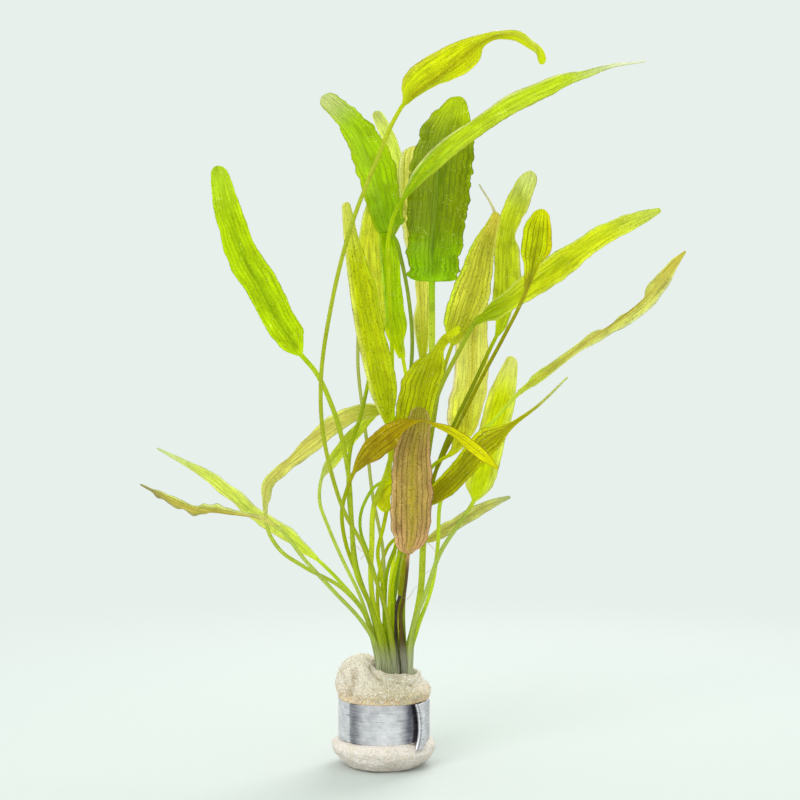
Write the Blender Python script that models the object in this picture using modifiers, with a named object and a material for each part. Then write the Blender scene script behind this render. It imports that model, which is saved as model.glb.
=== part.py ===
"""A bunch of strap-leaved water plants, sold rooted in a foam plug with a metal weight strip round it.

Metres, +Z up. The origin is the middle of the plug's flat foot, and the front of the bunch faces -Y.
Each leaf is one solid, its stalk and blade lofted along one smooth line from the plug to the tip.
"""

import math
from dataclasses import dataclass

import bmesh
import bpy
from mathutils import Vector

MM = 0.001

# The plug: a roll of foam, pinched by the metal strip, in mm
FOOT_RADIUS = 13.0
LOWER_BULGE = 18.6
UPPER_BULGE = 17.5
NECK_RADIUS = 13.8
PLUG_HEIGHT = 34.0
TOP_FALL = 0.13  # the top falls this much for each mm to the right
TOP_RISE = 0.12  # and rises this much for each mm to the back
PLUG_STEPS = 24

# The metal strip, in mm and degrees. It starts under its own outer layer and ends in a free edge.
STRIP_BOTTOM = 9.8
STRIP_HEIGHT = 14.2
STRIP_THICK = 0.9
STRIP_START_RADIUS = 14.9
STRIP_GROWTH = 1.3  # how much further out each full turn lies
STRIP_CENTRE_X = -0.3
STRIP_START = 26.0  # from +X, counter-clockwise
STRIP_TURN = 430.0
STRIP_STEPS = 36
FLARE_ANGLE = 22.0
FLARE = 0.9

# The slot in the foam, and the rows of stalks that stand in it, in mm
ROW_PITCH = 2.2
FIRST_COLUMN_X = -3.7
FIRST_ROW_Y = -3.3
COLUMNS = 7
ROWS = 4
STALK_RADIUS = 0.95
STALK_END = 14.0
LIP = 34.0
GAP = 0.3

# Leaf sections
RING = 8
BLADE_HALF_THICK = 0.45
TIP_HALF_WIDTH = 0.35
TAIL_HALF_WIDTH = 0.7

# The leaves are drawn as the front view shows them. A point of a leaf's line is given in mm as how far it is to
# the right, how far behind the plug's axis, and how high, as an eye at this place sees it against the plane
# through the axis. Moving a point nearer or further keeps the front view as it is.
EYE = Vector((5.8, -550.0, 131.0))

FRESH, LIME, YELLOW = "fresh green leaf", "lime green leaf", "yellow leaf"
OLIVE, DARK, PALE, BRONZE = "olive leaf", "dark green leaf", "pale leaf", "bronze leaf"
COLOURS = {
    FRESH: (0.33, 0.58, 0.01),
    LIME: (0.48, 0.68, 0.02),
    YELLOW: (0.66, 0.72, 0.01),
    OLIVE: (0.38, 0.42, 0.02),
    DARK: (0.14, 0.29, 0.01),
    PALE: (0.58, 0.66, 0.18),
    BRONZE: (0.44, 0.32, 0.07),
}


@dataclass
class Leaf:
    """One leaf: its place in the slot, the line of its stalk, the line of its blade and the blade's shape."""

    name: str
    foot: tuple  # column from the left, row from the front
    stalk: list
    blade: list
    wide: float  # half of the blade's greatest width
    base: float = 0.25  # the share of the blade over which it widens
    tip: float = 0.4  # the share over which it narrows
    roll: tuple = (0.0, 0.0)  # degrees about its line, at the blade's base and at its tip
    stem: float = 0.75  # the stalk's radius below the blade
    tail: float = 0.0  # the share of the blade that is a thin drawn-out point
    colour: str = FRESH
    rings: tuple = (9, 11)


LEAVES = [
    Leaf("leaf_far_left", (1, 0),
         [(-1.6, -5.6, 46), (-4.5, -8.4, 56), (-10, -12, 69), (-11.6, -16, 87), (-13, -20, 106),
          (-18.4, -23, 128), (-25.2, -25, 142)],
         [(-29.8, -27, 147.3), (-43.2, -31, 169), (-55.4, -35, 195), (-60.3, -38, 215.3)],
         6.2, 0.2, 0.3, (-10, 20), stem=0.9, colour=LIME),
    Leaf("leaf_top_arch", (3, 0),
         [(2.4, -5.6, 47), (0.4, -8.5, 56.6), (-3.8, -13, 68.6), (-7.9, -17, 79.3), (-13.7, -21, 89.6),
          (-18.7, -28, 104), (-22.3, -34, 122.4), (-22.7, -38, 137.2), (-19.1, -44, 164.2),
          (-11.5, -48, 194.4), (-2.2, -49, 218.2), (4.6, -48, 232)],
         [(7, -47, 237.5), (12.6, -46, 245.6), (20.6, -43, 251), (30, -39, 256), (38, -34, 261),
          (47.2, -29, 262.2), (54, -24, 258), (58, -20, 251.6)],
         6.3, 0.2, 0.58, (0, 78), colour=LIME, rings=(13, 12)),
    Leaf("leaf_top_left", (4, 2),
         [(4.3, 1.8, 46), (3.9, 2.7, 55), (3.9, 3.1, 63), (5, 3.4, 71), (6.6, 4, 80), (7.6, 5, 100),
          (8.4, 6, 125), (10.1, 9, 155.9), (9, 9.5, 167), (6.1, 10, 182.2), (4.4, 10, 188.5)],
         [(1.8, 10.5, 192.2), (-1.1, 12, 204.6), (-6, 14.5, 219.5), (-11.3, 17, 229.5), (-22.3, 21, 240.3)],
         6.8, 0.1, 0.25, (0, -25), colour=FRESH, rings=(12, 10)),
    Leaf("leaf_long_right", (4, 1),
         [(3.7, -1.1, 48), (3.2, -1.1, 57), (3.1, -0.8, 64), (4.2, -0.4, 70), (5.6, 0, 77), (5, -0.6, 88),
          (4.3, -2, 100), (3.2, -8, 130), (2.9, -13, 149), (1.8, -21, 178), (1.8, -25, 190),
          (4, -28, 198.4)],
         [(7.4, -30.5, 204.1), (18.8, -34, 218.6), (37.5, -39, 232.7), (59.4, -43.5, 244.3),
          (79.6, -46, 251.2), (94.3, -48, 253)],
         3.9, 0.2, 0.8, (15, 35), colour=LIME, rings=(12, 11)),
    Leaf("leaf_broad", (6, 1),
         [(8.8, -1.1, 41), (10.4, -1, 48), (11.9, -0.5, 54.5), (13.2, 0, 62), (14, 1.5, 76.4),
          (14.8, 5, 100), (16, 9, 125), (17.3, 13, 150.8), (17.3, 15, 168)],
         [(17.3, 15.5, 173.6), (18, 16.5, 188.6), (19.4, 18, 203), (20.5, 19, 217.4), (22.7, 20, 228.2),
          (27.7, 21, 240.2)],
         11.5, 0.06, 0.3, (0, 10), stem=1.15, colour=DARK, rings=(8, 12)),
    Leaf("leaf_pale_back", (2, 3),
         [(0.2, 8, 60), (-0.4, 12, 77.4), (-3.8, 18, 95), (-6.5, 25, 118.8), (-9.4, 31, 147.6),
          (-7.5, 35, 168), (-3, 38, 180)],
         [(2.9, 40, 190), (5, 46, 213.8), (3, 48, 223), (-3.2, 52, 235)],
         4.1, 0.3, 0.5, (20, -10), stem=0.7, colour=PALE, rings=(9, 10)),
    Leaf("leaf_brown_back", (4, 3),
         [(5.3, 6.6, 48), (5.6, 10, 61), (6.6, 14, 76), (8.8, 19, 92), (11, 24, 115)],
         [(13.7, 29, 142.6), (13, 33, 170.6), (11.9, 36, 185), (11.2, 42, 210.2), (11.2, 45, 222.5)],
         6.3, 0.6, 0.3, (-15, 10), colour=BRONZE, rings=(8, 10)),
    Leaf("leaf_mid_left", (2, 1),
         [(0.4, -1.1, 48), (0, -1.3, 59), (-0.8, -3.5, 67), (-2.2, -6.5, 76), (-0.1, -9, 85.7),
          (1.6, -11, 95), (2.2, -14, 108)],
         [(1.4, -17, 122), (-2.2, -21, 141.8), (-5.9, -24, 159.8), (-9.8, -27, 180.7), (-13.5, -30, 202.3)],
         6.2, 0.3, 0.62, (10, -15), colour=OLIVE, rings=(9, 11)),
    Leaf("leaf_olive_back", (1, 2),
         [(-2.2, 1.3, 46), (-5.5, 1.5, 58), (-9.5, 0, 70), (-11.5, -3, 85), (-12.8, -4, 100),
          (-11.9, -4, 114), (-8.3, -3, 125.6), (-5, 0, 140)],
         [(-3.6, 1, 145.4), (-1.8, 5, 157), (-4.2, 11, 174), (-4.9, 16, 190.4), (-0.5, 21, 210.2)],
         4.8, 0.4, 0.4, (25, 0), colour=PALE, rings=(9, 10)),
    Leaf("leaf_green_back", (3, 2),
         [(2.2, 2.8, 47), (1.9, 4.8, 56), (2.5, 6.8, 66), (4.2, 9, 79), (6.2, 12.5, 110), (7.9, 15, 140)],
         [(6.8, 15.5, 146.2), (2.5, 18, 167), (1.4, 22, 188.6), (0.7, 25, 201.2)],
         5.4, 0.3, 0.35, (-20, 5), colour=FRESH, rings=(9, 10)),
    Leaf("leaf_front_brown", (5, 0),
         [(7.2, -4, 37), (6.3, -6, 47.5), (6.1, -8, 53.7), (7.2, -10.5, 59.9), (8.4, -15, 70.2)],
         [(8.8, -18, 75.6), (10.1, -21, 82.4), (10.1, -25, 96.8), (10.4, -28, 110), (12.2, -31, 120.2),
          (13, -33, 128.5)],
         7.6, 0.14, 0.5, (-4, 6), colour=BRONZE, rings=(7, 12)),
    Leaf("leaf_twisted", (1, 1),
         [(-1.9, -1.4, 46), (-5.2, -2.4, 58), (-10, -5.5, 69), (-13.7, -9, 79.3), (-15.1, -15.5, 91),
          (-13.2, -22, 99)],
         [(-10.6, -27, 105.3), (-5.8, -32, 111.2), (4, -38, 119.2), (13, -42, 123), (22, -44, 121),
          (33.8, -45, 113), (41, -44, 106.2)],
         4.6, 0.14, 0.45, (15, 160), colour=OLIVE, rings=(9, 14)),
    Leaf("leaf_middle", (2, 0),
         [(-0.9, -3.6, 48), (-3.6, -5.2, 56.6), (-4.7, -7.6, 66), (-4.4, -11, 77.8), (-3, -15.5, 95),
          (0.4, -17, 103)],
         [(3.6, -19, 113), (10.1, -22, 123.8), (12.2, -23, 131), (14.4, -24, 140), (19.8, -25, 150.8),
          (27.4, -27, 157.3)],
         7.0, 0.3, 0.62, (-10, 30), stem=1.0, colour=OLIVE, rings=(8, 11)),
    Leaf("leaf_tall_right", (5, 3),
         [(7, 4, 45), (6.9, 4.9, 53), (7.6, 5.8, 66), (9, 8, 82), (13.5, 9.5, 96), (18, 9, 115)],
         [(21.5, 9, 140.5), (28, 10, 154), (32.5, 12, 172), (36.3, 16, 187), (40.9, 20, 198.6)],
         7.6, 0.35, 0.6, (10, -20), colour=PALE, rings=(9, 10)),
    Leaf("leaf_upper_right", (6, 3),
         [(10.2, 4.4, 47), (11.8, 5.4, 54.5), (13.2, 6.4, 62), (14.2, 7, 76), (15.6, 6.8, 90),
          (18.6, 2.6, 105), (24.2, -0.5, 120), (32, 1.5, 136), (38.9, 9, 150.8)],
         [(40.7, 12, 154.4), (44.2, 20, 170.6), (44.6, 27, 188.6), (49, 34, 204.8), (52.9, 38, 213.5)],
         4.9, 0.3, 0.3, (-20, 15), stem=0.75, colour=PALE, rings=(11, 10)),
    Leaf("leaf_thin_tip", (3, 3),
         [(3, 5.5, 46), (3.4, 7.4, 56), (4.9, 7.4, 66), (6.9, 6, 76), (10.3, 3.6, 90), (14.2, -0.6, 100.5),
          (18.6, -6.4, 108.2), (20.9, -6.8, 109.7)],
         [(23.4, -5, 111.1), (28.4, 3.5, 117), (31, 11, 132), (32.6, 19, 156.2), (36.6, 27, 183),
          (40, 31, 197.6), (34.2, 36, 208.8)],
         6.4, 0.3, 0.45, (25, 0), stem=0.7, tail=0.16, colour=PALE, rings=(12, 13)),
    Leaf("leaf_small_yellow", (5, 1),
         [(6.6, -1.3, 44), (5.9, -1.6, 54), (6.1, -1.8, 63), (7.4, -2.2, 72), (9.6, -2.6, 80),
          (13.6, -2.6, 91), (18, -2.4, 103.7), (25.6, -5.4, 119.5), (36, -12, 140.4), (43.9, -17, 155.2),
          (49.7, -21, 166.7)],
         [(51.5, -23, 171), (54.7, -28, 185), (55.4, -30, 190), (56.9, -34, 199.8)],
         5.8, 0.45, 0.42, (20, -10), stem=0.7, colour=YELLOW, rings=(11, 8)),
    Leaf("leaf_bright_right", (5, 2),
         [(6.7, 1, 46), (5.8, 0.9, 57), (6.3, 0.6, 68), (7.8, 0.1, 79), (10, -0.9, 92), (14.8, -3.5, 116.6),
          (20.2, -6, 135), (27.7, -8, 149.8)],
         [(33, -9.5, 159), (47.2, -12, 168.5), (67, -17, 183), (82, -21, 192.4), (99.7, -25, 199.6)],
         6.2, 0.18, 0.85, (20, 30), stem=0.9, colour=LIME, rings=(9, 10)),
    Leaf("leaf_red_tip", (6, 2),
         [(9.6, 1.3, 41.4), (11.5, 1.6, 47.5), (17.3, 2, 64), (19.4, 2, 78.5), (20.5, 1, 95),
          (30.2, 0, 113.8), (40, 0, 124.2)],
         [(48.6, -2, 133.4), (58, -4, 140.3), (72.3, -7, 151.4), (93.4, -11, 166.9), (108.7, -14, 184.6)],
         3.9, 0.15, 0.3, (45, 50), colour=PALE, rings=(9, 10)),
    Leaf("leaf_dark_right", (2, 2),
         [(0.6, 1.2, 50), (0.4, 1.2, 60.8), (1.1, 0, 69), (4, -2.5, 77.4), (8, -5.5, 85)],
         [(13, -9, 91.3), (18.1, -11, 96.5), (26.8, -13.5, 104.6), (35.6, -15, 114.3), (46.6, -16, 123.2),
          (54, -17, 130), (66.2, -19, 139.3)],
         5.5, 0.4, 0.4, (-12, 24), tail=0.3, colour=OLIVE, rings=(8, 12)),
    Leaf("leaf_light_right", (6, 0),
         [(9.4, -3.4, 40), (10.7, -3.8, 49.7), (15.2, -4, 62), (20.5, -3, 76.4), (27.4, 1, 87)],
         [(32.5, 7, 95), (34.9, 12, 103), (38.3, 22, 117.5), (42.3, 30, 131), (45.2, 35, 141.3),
          (46.6, 38, 146.5)],
         6.3, 0.2, 0.5, (0, -15), stem=0.85, colour=PALE, rings=(8, 11)),
    Leaf("leaf_low_right", (1, 3),
         [(-1.8, 8, 50), (-1.3, 17, 70.2), (3.2, 25.5, 80.3), (8, 31, 82.5)],
         [(14.8, 36, 80.6), (22, 40, 84.2), (36.4, 47, 92.2), (45.7, 51, 96)],
         3.3, 0.35, 0.6, (45, 35), stem=0.7, colour=OLIVE, rings=(8, 9)),
    Leaf("leaf_low_left", (0, 3),
         [(-4, 6, 47), (-7.2, 9, 54.7), (-16.2, 15, 66)],
         [(-24.1, 20, 73.8), (-33.8, 24, 81.4), (-48.2, 30, 91.8), (-61.9, 36, 102.8), (-81.7, 43, 113.6)],
         4.3, 0.15, 0.75, (30, 20), colour=LIME, rings=(7, 11)),
    Leaf("leaf_ruffled_left", (0, 0),
         [(-4, -4, 45.4), (-7.9, -5.5, 51.2), (-17.9, -9.5, 62), (-28.4, -14, 73.4), (-38.5, -19, 85.3)],
         [(-43.5, -21, 88.2), (-57.2, -26, 90.4), (-68.8, -30, 92), (-79.6, -34, 96.8),
          (-87.8, -37, 100.6)],
         3.6, 0.5, 0.5, (58, 50), colour=BRONZE, rings=(9, 10)),
    Leaf("leaf_bent_left", (0, 1),
         [(-4.2, -1.3, 46), (-7, -2, 54), (-15, -4, 63.2), (-28.8, -6, 71), (-37.4, -5.5, 77),
          (-42, -4, 85)],
         [(-42.6, -3, 90), (-41.7, 0, 100), (-38.2, 2, 104.9), (-24.7, 6, 117.7), (-12, 8, 125.3),
          (0.4, 10, 127.4)],
         3.8, 0.4, 0.3, (30, 20), colour=PALE, rings=(8, 11)),
    Leaf("leaf_small_left", (0, 2),
         [(-4.5, 3, 48), (-8.4, 5, 60), (-14.5, 8, 72.7), (-19.9, 11, 85), (-23.2, 13, 95)],
         [(-22.2, 14, 103.5), (-16.2, 15, 112.3), (-6.8, 17, 122.8), (-2.2, 18, 126.7)],
         3.2, 0.4, 0.4, (35, 25), stem=0.7, colour=FRESH, rings=(8, 8)),
    Leaf("leaf_curled", (3, 1),
         [(2.3, -2.1, 44), (1, -3.2, 51.8), (-0.7, -4.8, 59), (-2.6, -6, 66), (-5.4, -7.8, 75.2),
          (-8.4, -10.5, 84), (-8.5, -13, 89), (-6.5, -16, 95), (-2.2, -20, 100.6), (3.2, -20, 102.6)],
         [(5, -18, 101.9), (6.8, -13, 99), (6, -8, 95.5), (3.5, -5.5, 92.8), (0.5, -4.5, 91)],
         3.0, 0.35, 0.4, (0, 0), stem=0.6, colour=YELLOW, rings=(12, 8)),
]  # fmt: skip

STUB_ROUTE = [(4.2, -3.6, 46.4), (4.3, -4, 51.8), (4.7, -4.6, 57.6), (5.8, -5, 60.5)]
STUB_FOOT = (4, 0)
STUB_TOP_RADIUS = 0.7
STUB_RINGS = 5


def material(name, colour, roughness, metallic=0.0):
    """A plain Principled material."""
    made = bpy.data.materials.get(name)
    if made is None:
        made = bpy.data.materials.new(name)
        made.use_nodes = True
        shader = made.node_tree.nodes["Principled BSDF"]
        shader.inputs["Base Color"].default_value = (*colour, 1.0)
        shader.inputs["Roughness"].default_value = roughness
        shader.inputs["Metallic"].default_value = metallic
    return made


def place(point):
    """Where a point of the drawing really lies, in mm: on the eye's line of sight, at its own depth."""
    across, depth, up = point
    drawn = Vector((across, 0.0, up))
    return EYE + (drawn - EYE) * ((depth - EYE.y) / -EYE.y)


def slot_place(foot):
    """The middle of a stalk's place in the slot, in mm."""
    column, row = foot
    return FIRST_COLUMN_X + column * ROW_PITCH, FIRST_ROW_Y + row * ROW_PITCH


def smooth_line(points, steps=24):
    """A smooth curve through all the points, as many short chords, with the number of each point's chord."""
    gaps = [(b - a).length for a, b in zip(points, points[1:])]
    slopes = []
    for i, point in enumerate(points):
        if i == 0:
            slopes.append((points[1] - point) / gaps[0])
        elif i == len(points) - 1:
            slopes.append((point - points[-2]) / gaps[-1])
        else:
            before = (point - points[i - 1]) / gaps[i - 1]
            after = (points[i + 1] - point) / gaps[i]
            slopes.append((before * gaps[i] + after * gaps[i - 1]) / (gaps[i] + gaps[i - 1]))
    line = []
    for i, gap in enumerate(gaps):
        for k in range(steps):
            t = k / steps
            line.append(
                points[i] * (2 * t**3 - 3 * t**2 + 1)
                + slopes[i] * gap * (t**3 - 2 * t**2 + t)
                + points[i + 1] * (3 * t**2 - 2 * t**3)
                + slopes[i + 1] * gap * (t**3 - t**2)
            )
    line.append(points[-1].copy())
    return line


def stations(line, count):
    """count points spaced evenly along the line, each with the line's direction there."""
    along = [0.0]
    for a, b in zip(line, line[1:]):
        along.append(along[-1] + (b - a).length)
    found, k = [], 0
    for i in range(count):
        want = along[-1] * i / (count - 1)
        while k < len(along) - 2 and along[k + 1] < want:
            k += 1
        share = (want - along[k]) / (along[k + 1] - along[k])
        low, high = max(k - 2, 0), min(k + 3, len(line) - 1)
        found.append((line[k].lerp(line[k + 1], share), (line[high] - line[low]).normalized()))
    return found


def ease(t):
    """0 to 1 with a level start and end."""
    t = min(max(t, 0.0), 1.0)
    return t * t * (3.0 - 2.0 * t)


def blade_half_width(leaf, t):
    """Half of the blade's width at the share t of its length: it widens, runs on and narrows to the tip."""
    body = 1.0 - leaf.tail
    if t > body:
        return TAIL_HALF_WIDTH + (TIP_HALF_WIDTH - TAIL_HALF_WIDTH) * (t - body) / leaf.tail
    t /= body
    widening = math.sin(math.pi / 2 * min(1.0, t / leaf.base)) ** 0.85
    narrowing = math.sin(math.pi / 2 * min(1.0, (1.0 - t) / leaf.tip)) ** 0.85
    end = TAIL_HALF_WIDTH if leaf.tail else TIP_HALF_WIDTH
    return max(leaf.wide * widening * narrowing, end)


def loft(name, sections):
    """A closed solid through oval sections: (centre, direction, roll, half width, half thickness), in mm.

    It is a grid rolled into a tube, so its columns run round each oval and its rows are the sections.
    """
    bm = bmesh.new()
    bmesh.ops.create_grid(bm, x_segments=RING, y_segments=len(sections) - 1, size=1.0)
    for vert in bm.verts:
        turn = round((vert.co.x + 1.0) / 2.0 * RING)
        row = round((vert.co.y + 1.0) / 2.0 * (len(sections) - 1))
        centre, direction, roll, half_width, half_thick = sections[row]
        across = direction.cross(Vector((0.0, -1.0, 0.0))).normalized()
        face = across.cross(direction)
        rolled = across * math.cos(roll) + face * math.sin(roll)
        face = face * math.cos(roll) - across * math.sin(roll)
        angle = 2.0 * math.pi * (turn % RING) / RING
        co = centre + rolled * half_width * math.cos(angle) + face * half_thick * math.sin(angle)
        vert.co = co * MM
    bmesh.ops.remove_doubles(bm, verts=bm.verts, dist=1e-6)
    bmesh.ops.holes_fill(bm, edges=bm.edges, sides=RING)
    bmesh.ops.recalc_face_normals(bm, faces=bm.faces)
    mesh = bpy.data.meshes.new(name)
    bm.to_mesh(mesh)
    bm.free()
    mesh.shade_smooth()
    return bpy.data.objects.new(name, mesh)


def foot_sections(foot):
    """The two sections of a stalk inside the slot, at its end and at the foam's lip."""
    x, y = slot_place(foot)
    up = Vector((0.0, 0.0, 1.0))
    return [(Vector((x, y, z)), up, 0.0, STALK_RADIUS, STALK_RADIUS) for z in (STALK_END, LIP)]


def make_leaf(leaf):
    """A leaf's solid: a round stalk that narrows upwards and flattens into the blade."""
    x, y = slot_place(leaf.foot)
    lip = Vector((x, y, LIP))
    stalk = [Vector((x, y, STALK_END)), lip] + [place(p) for p in leaf.stalk]
    blade = [place(p) for p in leaf.blade]
    line = smooth_line(stalk + blade)
    start = next(i for i, p in enumerate(line) if (p - lip).length < 1e-6)
    join = next(i for i, p in enumerate(line) if (p - blade[0]).length < 1e-6)
    stalk_rings, blade_rings = leaf.rings
    sections = foot_sections(leaf.foot)
    for i, (centre, direction) in enumerate(stations(line[start : join + 1], stalk_rings)[1:-1]):
        radius = STALK_RADIUS + (leaf.stem - STALK_RADIUS) * ease((i + 1) / 3)
        sections.append((centre, direction, 0.0, radius, radius))
    for i, (centre, direction) in enumerate(stations(line[join:], blade_rings)):
        t = i / (blade_rings - 1)
        roll = math.radians(leaf.roll[0] + (leaf.roll[1] - leaf.roll[0]) * ease(t))
        half_width = max(blade_half_width(leaf, t), leaf.stem * (1.0 - 2.0 * t))
        half_thick = leaf.stem + (BLADE_HALF_THICK - leaf.stem) * ease(t / 0.12)
        half_thick = min(half_thick, half_width)
        sections.append((centre, direction, roll, half_width, half_thick))
    made = loft(leaf.name, sections)
    made.data.materials.append(material(leaf.colour, COLOURS[leaf.colour], 0.4))
    return made


def make_stub():
    """The dead stalk, broken off short."""
    x, y = slot_place(STUB_FOOT)
    line = smooth_line([Vector((x, y, LIP))] + [place(p) for p in STUB_ROUTE])
    sections = foot_sections(STUB_FOOT)
    for i, (centre, direction) in enumerate(stations(line, STUB_RINGS)[1:]):
        radius = STALK_RADIUS + (STUB_TOP_RADIUS - STALK_RADIUS) * (i + 1) / (STUB_RINGS - 1)
        sections.append((centre, direction, 0.0, radius, radius))
    made = loft("dead_stalk", sections)
    made.data.materials.append(material("dead stalk", (0.07, 0.035, 0.02), 0.7))
    return made


def make_slot_cutter():
    """A blind slot with round corners, one gap wider all round than the rows of stalks."""
    margin = STALK_RADIUS + GAP
    wide = (COLUMNS - 1) * ROW_PITCH + 2 * margin
    deep = (ROWS - 1) * ROW_PITCH + 2 * margin
    bottom, top = STALK_END - GAP, PLUG_HEIGHT + 12.0
    middle_x = FIRST_COLUMN_X + (COLUMNS - 1) * ROW_PITCH / 2
    bm = bmesh.new()
    bmesh.ops.create_cube(bm, size=1.0)
    bmesh.ops.scale(bm, verts=bm.verts, vec=Vector((wide, deep, top - bottom)) * MM)
    bmesh.ops.translate(bm, verts=bm.verts, vec=Vector((middle_x, 0.0, (top + bottom) / 2)) * MM)
    upright = [e for e in bm.edges if abs(e.verts[0].co.z - e.verts[1].co.z) > 0.001]
    bmesh.ops.bevel(
        bm, geom=upright, offset=margin * MM, segments=3, profile=0.5, affect="EDGES", material=-1
    )
    bmesh.ops.recalc_face_normals(bm, faces=bm.faces)
    mesh = bpy.data.meshes.new("slot_cutter")
    bm.to_mesh(mesh)
    bm.free()
    cutter = bpy.data.objects.new("slot_cutter", mesh)
    cutter.hide_render = True
    cutter.display_type = "WIRE"
    return cutter


def make_plug(parts, cutters):
    """The foam: a turned roll with two bulges and a neck, its top sloping down to the right, and the slot cut."""
    profile = [
        (0.0, PLUG_HEIGHT),
        (8.0, PLUG_HEIGHT + 0.4),
        (12.6, PLUG_HEIGHT - 0.6),
        (15.8, PLUG_HEIGHT - 3.0),
        (UPPER_BULGE, PLUG_HEIGHT - 6.6),
        (UPPER_BULGE - 0.5, STRIP_BOTTOM + STRIP_HEIGHT + 1.6),
        (NECK_RADIUS + 1.0, STRIP_BOTTOM + STRIP_HEIGHT + 0.6),
        (NECK_RADIUS, STRIP_BOTTOM + STRIP_HEIGHT + GAP),
        (NECK_RADIUS, STRIP_BOTTOM - GAP),
        (LOWER_BULGE - 1.0, STRIP_BOTTOM - 0.8),
        (LOWER_BULGE, STRIP_BOTTOM - 2.4),
        (LOWER_BULGE - 0.5, STRIP_BOTTOM - 5.2),
        (LOWER_BULGE - 2.4, 1.8),
        (FOOT_RADIUS + 1.2, 0.4),
        (FOOT_RADIUS, 0.0),
        (0.0, 0.0),
    ]
    bm = bmesh.new()
    verts = [bm.verts.new(Vector((radius, 0.0, height)) * MM) for radius, height in profile]
    for a, b in zip(verts, verts[1:]):
        bm.edges.new((a, b))
    mesh = bpy.data.meshes.new("plug_profile")
    bm.to_mesh(mesh)
    bm.free()
    turned = bpy.data.objects.new("plug_profile", mesh)
    parts.objects.link(turned)
    screw = turned.modifiers.new("turn", "SCREW")
    screw.steps = PLUG_STEPS
    screw.render_steps = PLUG_STEPS
    screw.use_merge_vertices = True
    screw.merge_threshold = 0.00001
    bpy.context.view_layer.update()
    solid = bpy.data.meshes.new_from_object(turned.evaluated_get(bpy.context.evaluated_depsgraph_get()))
    bpy.data.objects.remove(turned)
    level = (STRIP_BOTTOM + STRIP_HEIGHT + 0.6) * MM
    for vert in solid.vertices:
        share = max(0.0, vert.co.z - level) / (PLUG_HEIGHT * MM - level)
        vert.co.z += (TOP_RISE * vert.co.y - TOP_FALL * vert.co.x) * min(share, 1.0)
    solid.name = "foam_plug"
    plug = bpy.data.objects.new("foam_plug", solid)
    parts.objects.link(plug)
    cutter = make_slot_cutter()
    cutters.objects.link(cutter)
    cut = plug.modifiers.new("slot", "BOOLEAN")
    cut.operation = "DIFFERENCE"
    cut.object = cutter
    solid.materials.clear()
    solid.materials.append(material("cream foam", (0.68, 0.62, 0.46), 0.95))
    solid.shade_smooth()
    return plug


def strip_point(share, side):
    """A point of the strip's outline, in mm: at this share of its length, on its inner (-1) or outer (1) side."""
    turned = STRIP_TURN * share
    radius = STRIP_START_RADIUS + STRIP_GROWTH * turned / 360.0 + side * STRIP_THICK / 2
    radius += FLARE * ease(1.0 - (STRIP_TURN - turned) / FLARE_ANGLE)
    angle = math.radians(STRIP_START - turned)
    return Vector((STRIP_CENTRE_X + radius * math.cos(angle), radius * math.sin(angle), 0.0))


def make_band():
    """The metal strip: a flat spiral outline, extruded to the strip's height."""
    shares = [i / STRIP_STEPS for i in range(STRIP_STEPS + 1)]
    outline = [strip_point(s, 1) for s in shares] + [strip_point(s, -1) for s in reversed(shares)]
    curve = bpy.data.curves.new("weight_band", "CURVE")
    curve.dimensions = "2D"
    curve.fill_mode = "BOTH"
    curve.extrude = STRIP_HEIGHT / 2 * MM
    spline = curve.splines.new("POLY")
    spline.points.add(len(outline) - 1)
    for spot, point in zip(spline.points, outline):
        spot.co = (*(point * MM), 1.0)
    spline.use_cyclic_u = True
    band = bpy.data.objects.new("weight_band", curve)
    band.location.z = (STRIP_BOTTOM + STRIP_HEIGHT / 2) * MM
    curve.materials.append(material("soft grey metal", (0.44, 0.45, 0.5), 0.38, metallic=1.0))
    return band


def main():
    for old in list(bpy.data.objects):
        bpy.data.objects.remove(old)
    parts = bpy.data.collections.new("aquarium plant bunch")
    cutters = bpy.data.collections.new("cutters")
    bpy.context.scene.collection.children.link(parts)
    bpy.context.scene.collection.children.link(cutters)
    make_plug(parts, cutters)
    parts.objects.link(make_band())
    parts.objects.link(make_stub())
    for leaf in LEAVES:
        parts.objects.link(make_leaf(leaf))


main()
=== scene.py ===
# %% [markdown]
# # A bunch of aquarium plants in a weighted foam plug
# Twenty-seven long-stalked leaves stand in a cream foam plug, and a strip of soft grey metal is wound round it
# to sink it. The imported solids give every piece's place and size. Each plain solid is replaced here by a finer
# mesh of the same piece: thin ruffled blades with raised midribs, crumpled foam and dented metal.

# %% Load the frame
import math
import random

import bmesh
import bpy
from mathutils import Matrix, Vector, noise


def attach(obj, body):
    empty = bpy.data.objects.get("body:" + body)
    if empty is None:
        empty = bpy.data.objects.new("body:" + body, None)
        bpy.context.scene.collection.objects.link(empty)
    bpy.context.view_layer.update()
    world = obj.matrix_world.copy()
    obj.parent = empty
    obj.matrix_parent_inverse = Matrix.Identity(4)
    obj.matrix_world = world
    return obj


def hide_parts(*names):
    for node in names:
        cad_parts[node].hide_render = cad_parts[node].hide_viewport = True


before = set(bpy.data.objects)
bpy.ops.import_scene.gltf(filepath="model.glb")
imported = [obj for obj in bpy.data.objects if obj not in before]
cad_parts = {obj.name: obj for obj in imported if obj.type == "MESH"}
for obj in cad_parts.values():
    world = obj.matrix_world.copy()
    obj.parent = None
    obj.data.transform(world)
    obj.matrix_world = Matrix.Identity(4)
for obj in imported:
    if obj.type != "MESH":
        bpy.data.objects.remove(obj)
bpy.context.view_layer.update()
MM = 0.001

# %% [markdown]
# ## Camera
# The photograph looks straight at the bunch from the front, level with the middle of the leaves. The top of the
# foam is seen a little from above, which puts the eye about half a metre away. The same place, EYE, is used
# below to draw the leaves: a point of a leaf is given as the front view shows it and then moved along the eye's
# line of sight to its own depth.

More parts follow.
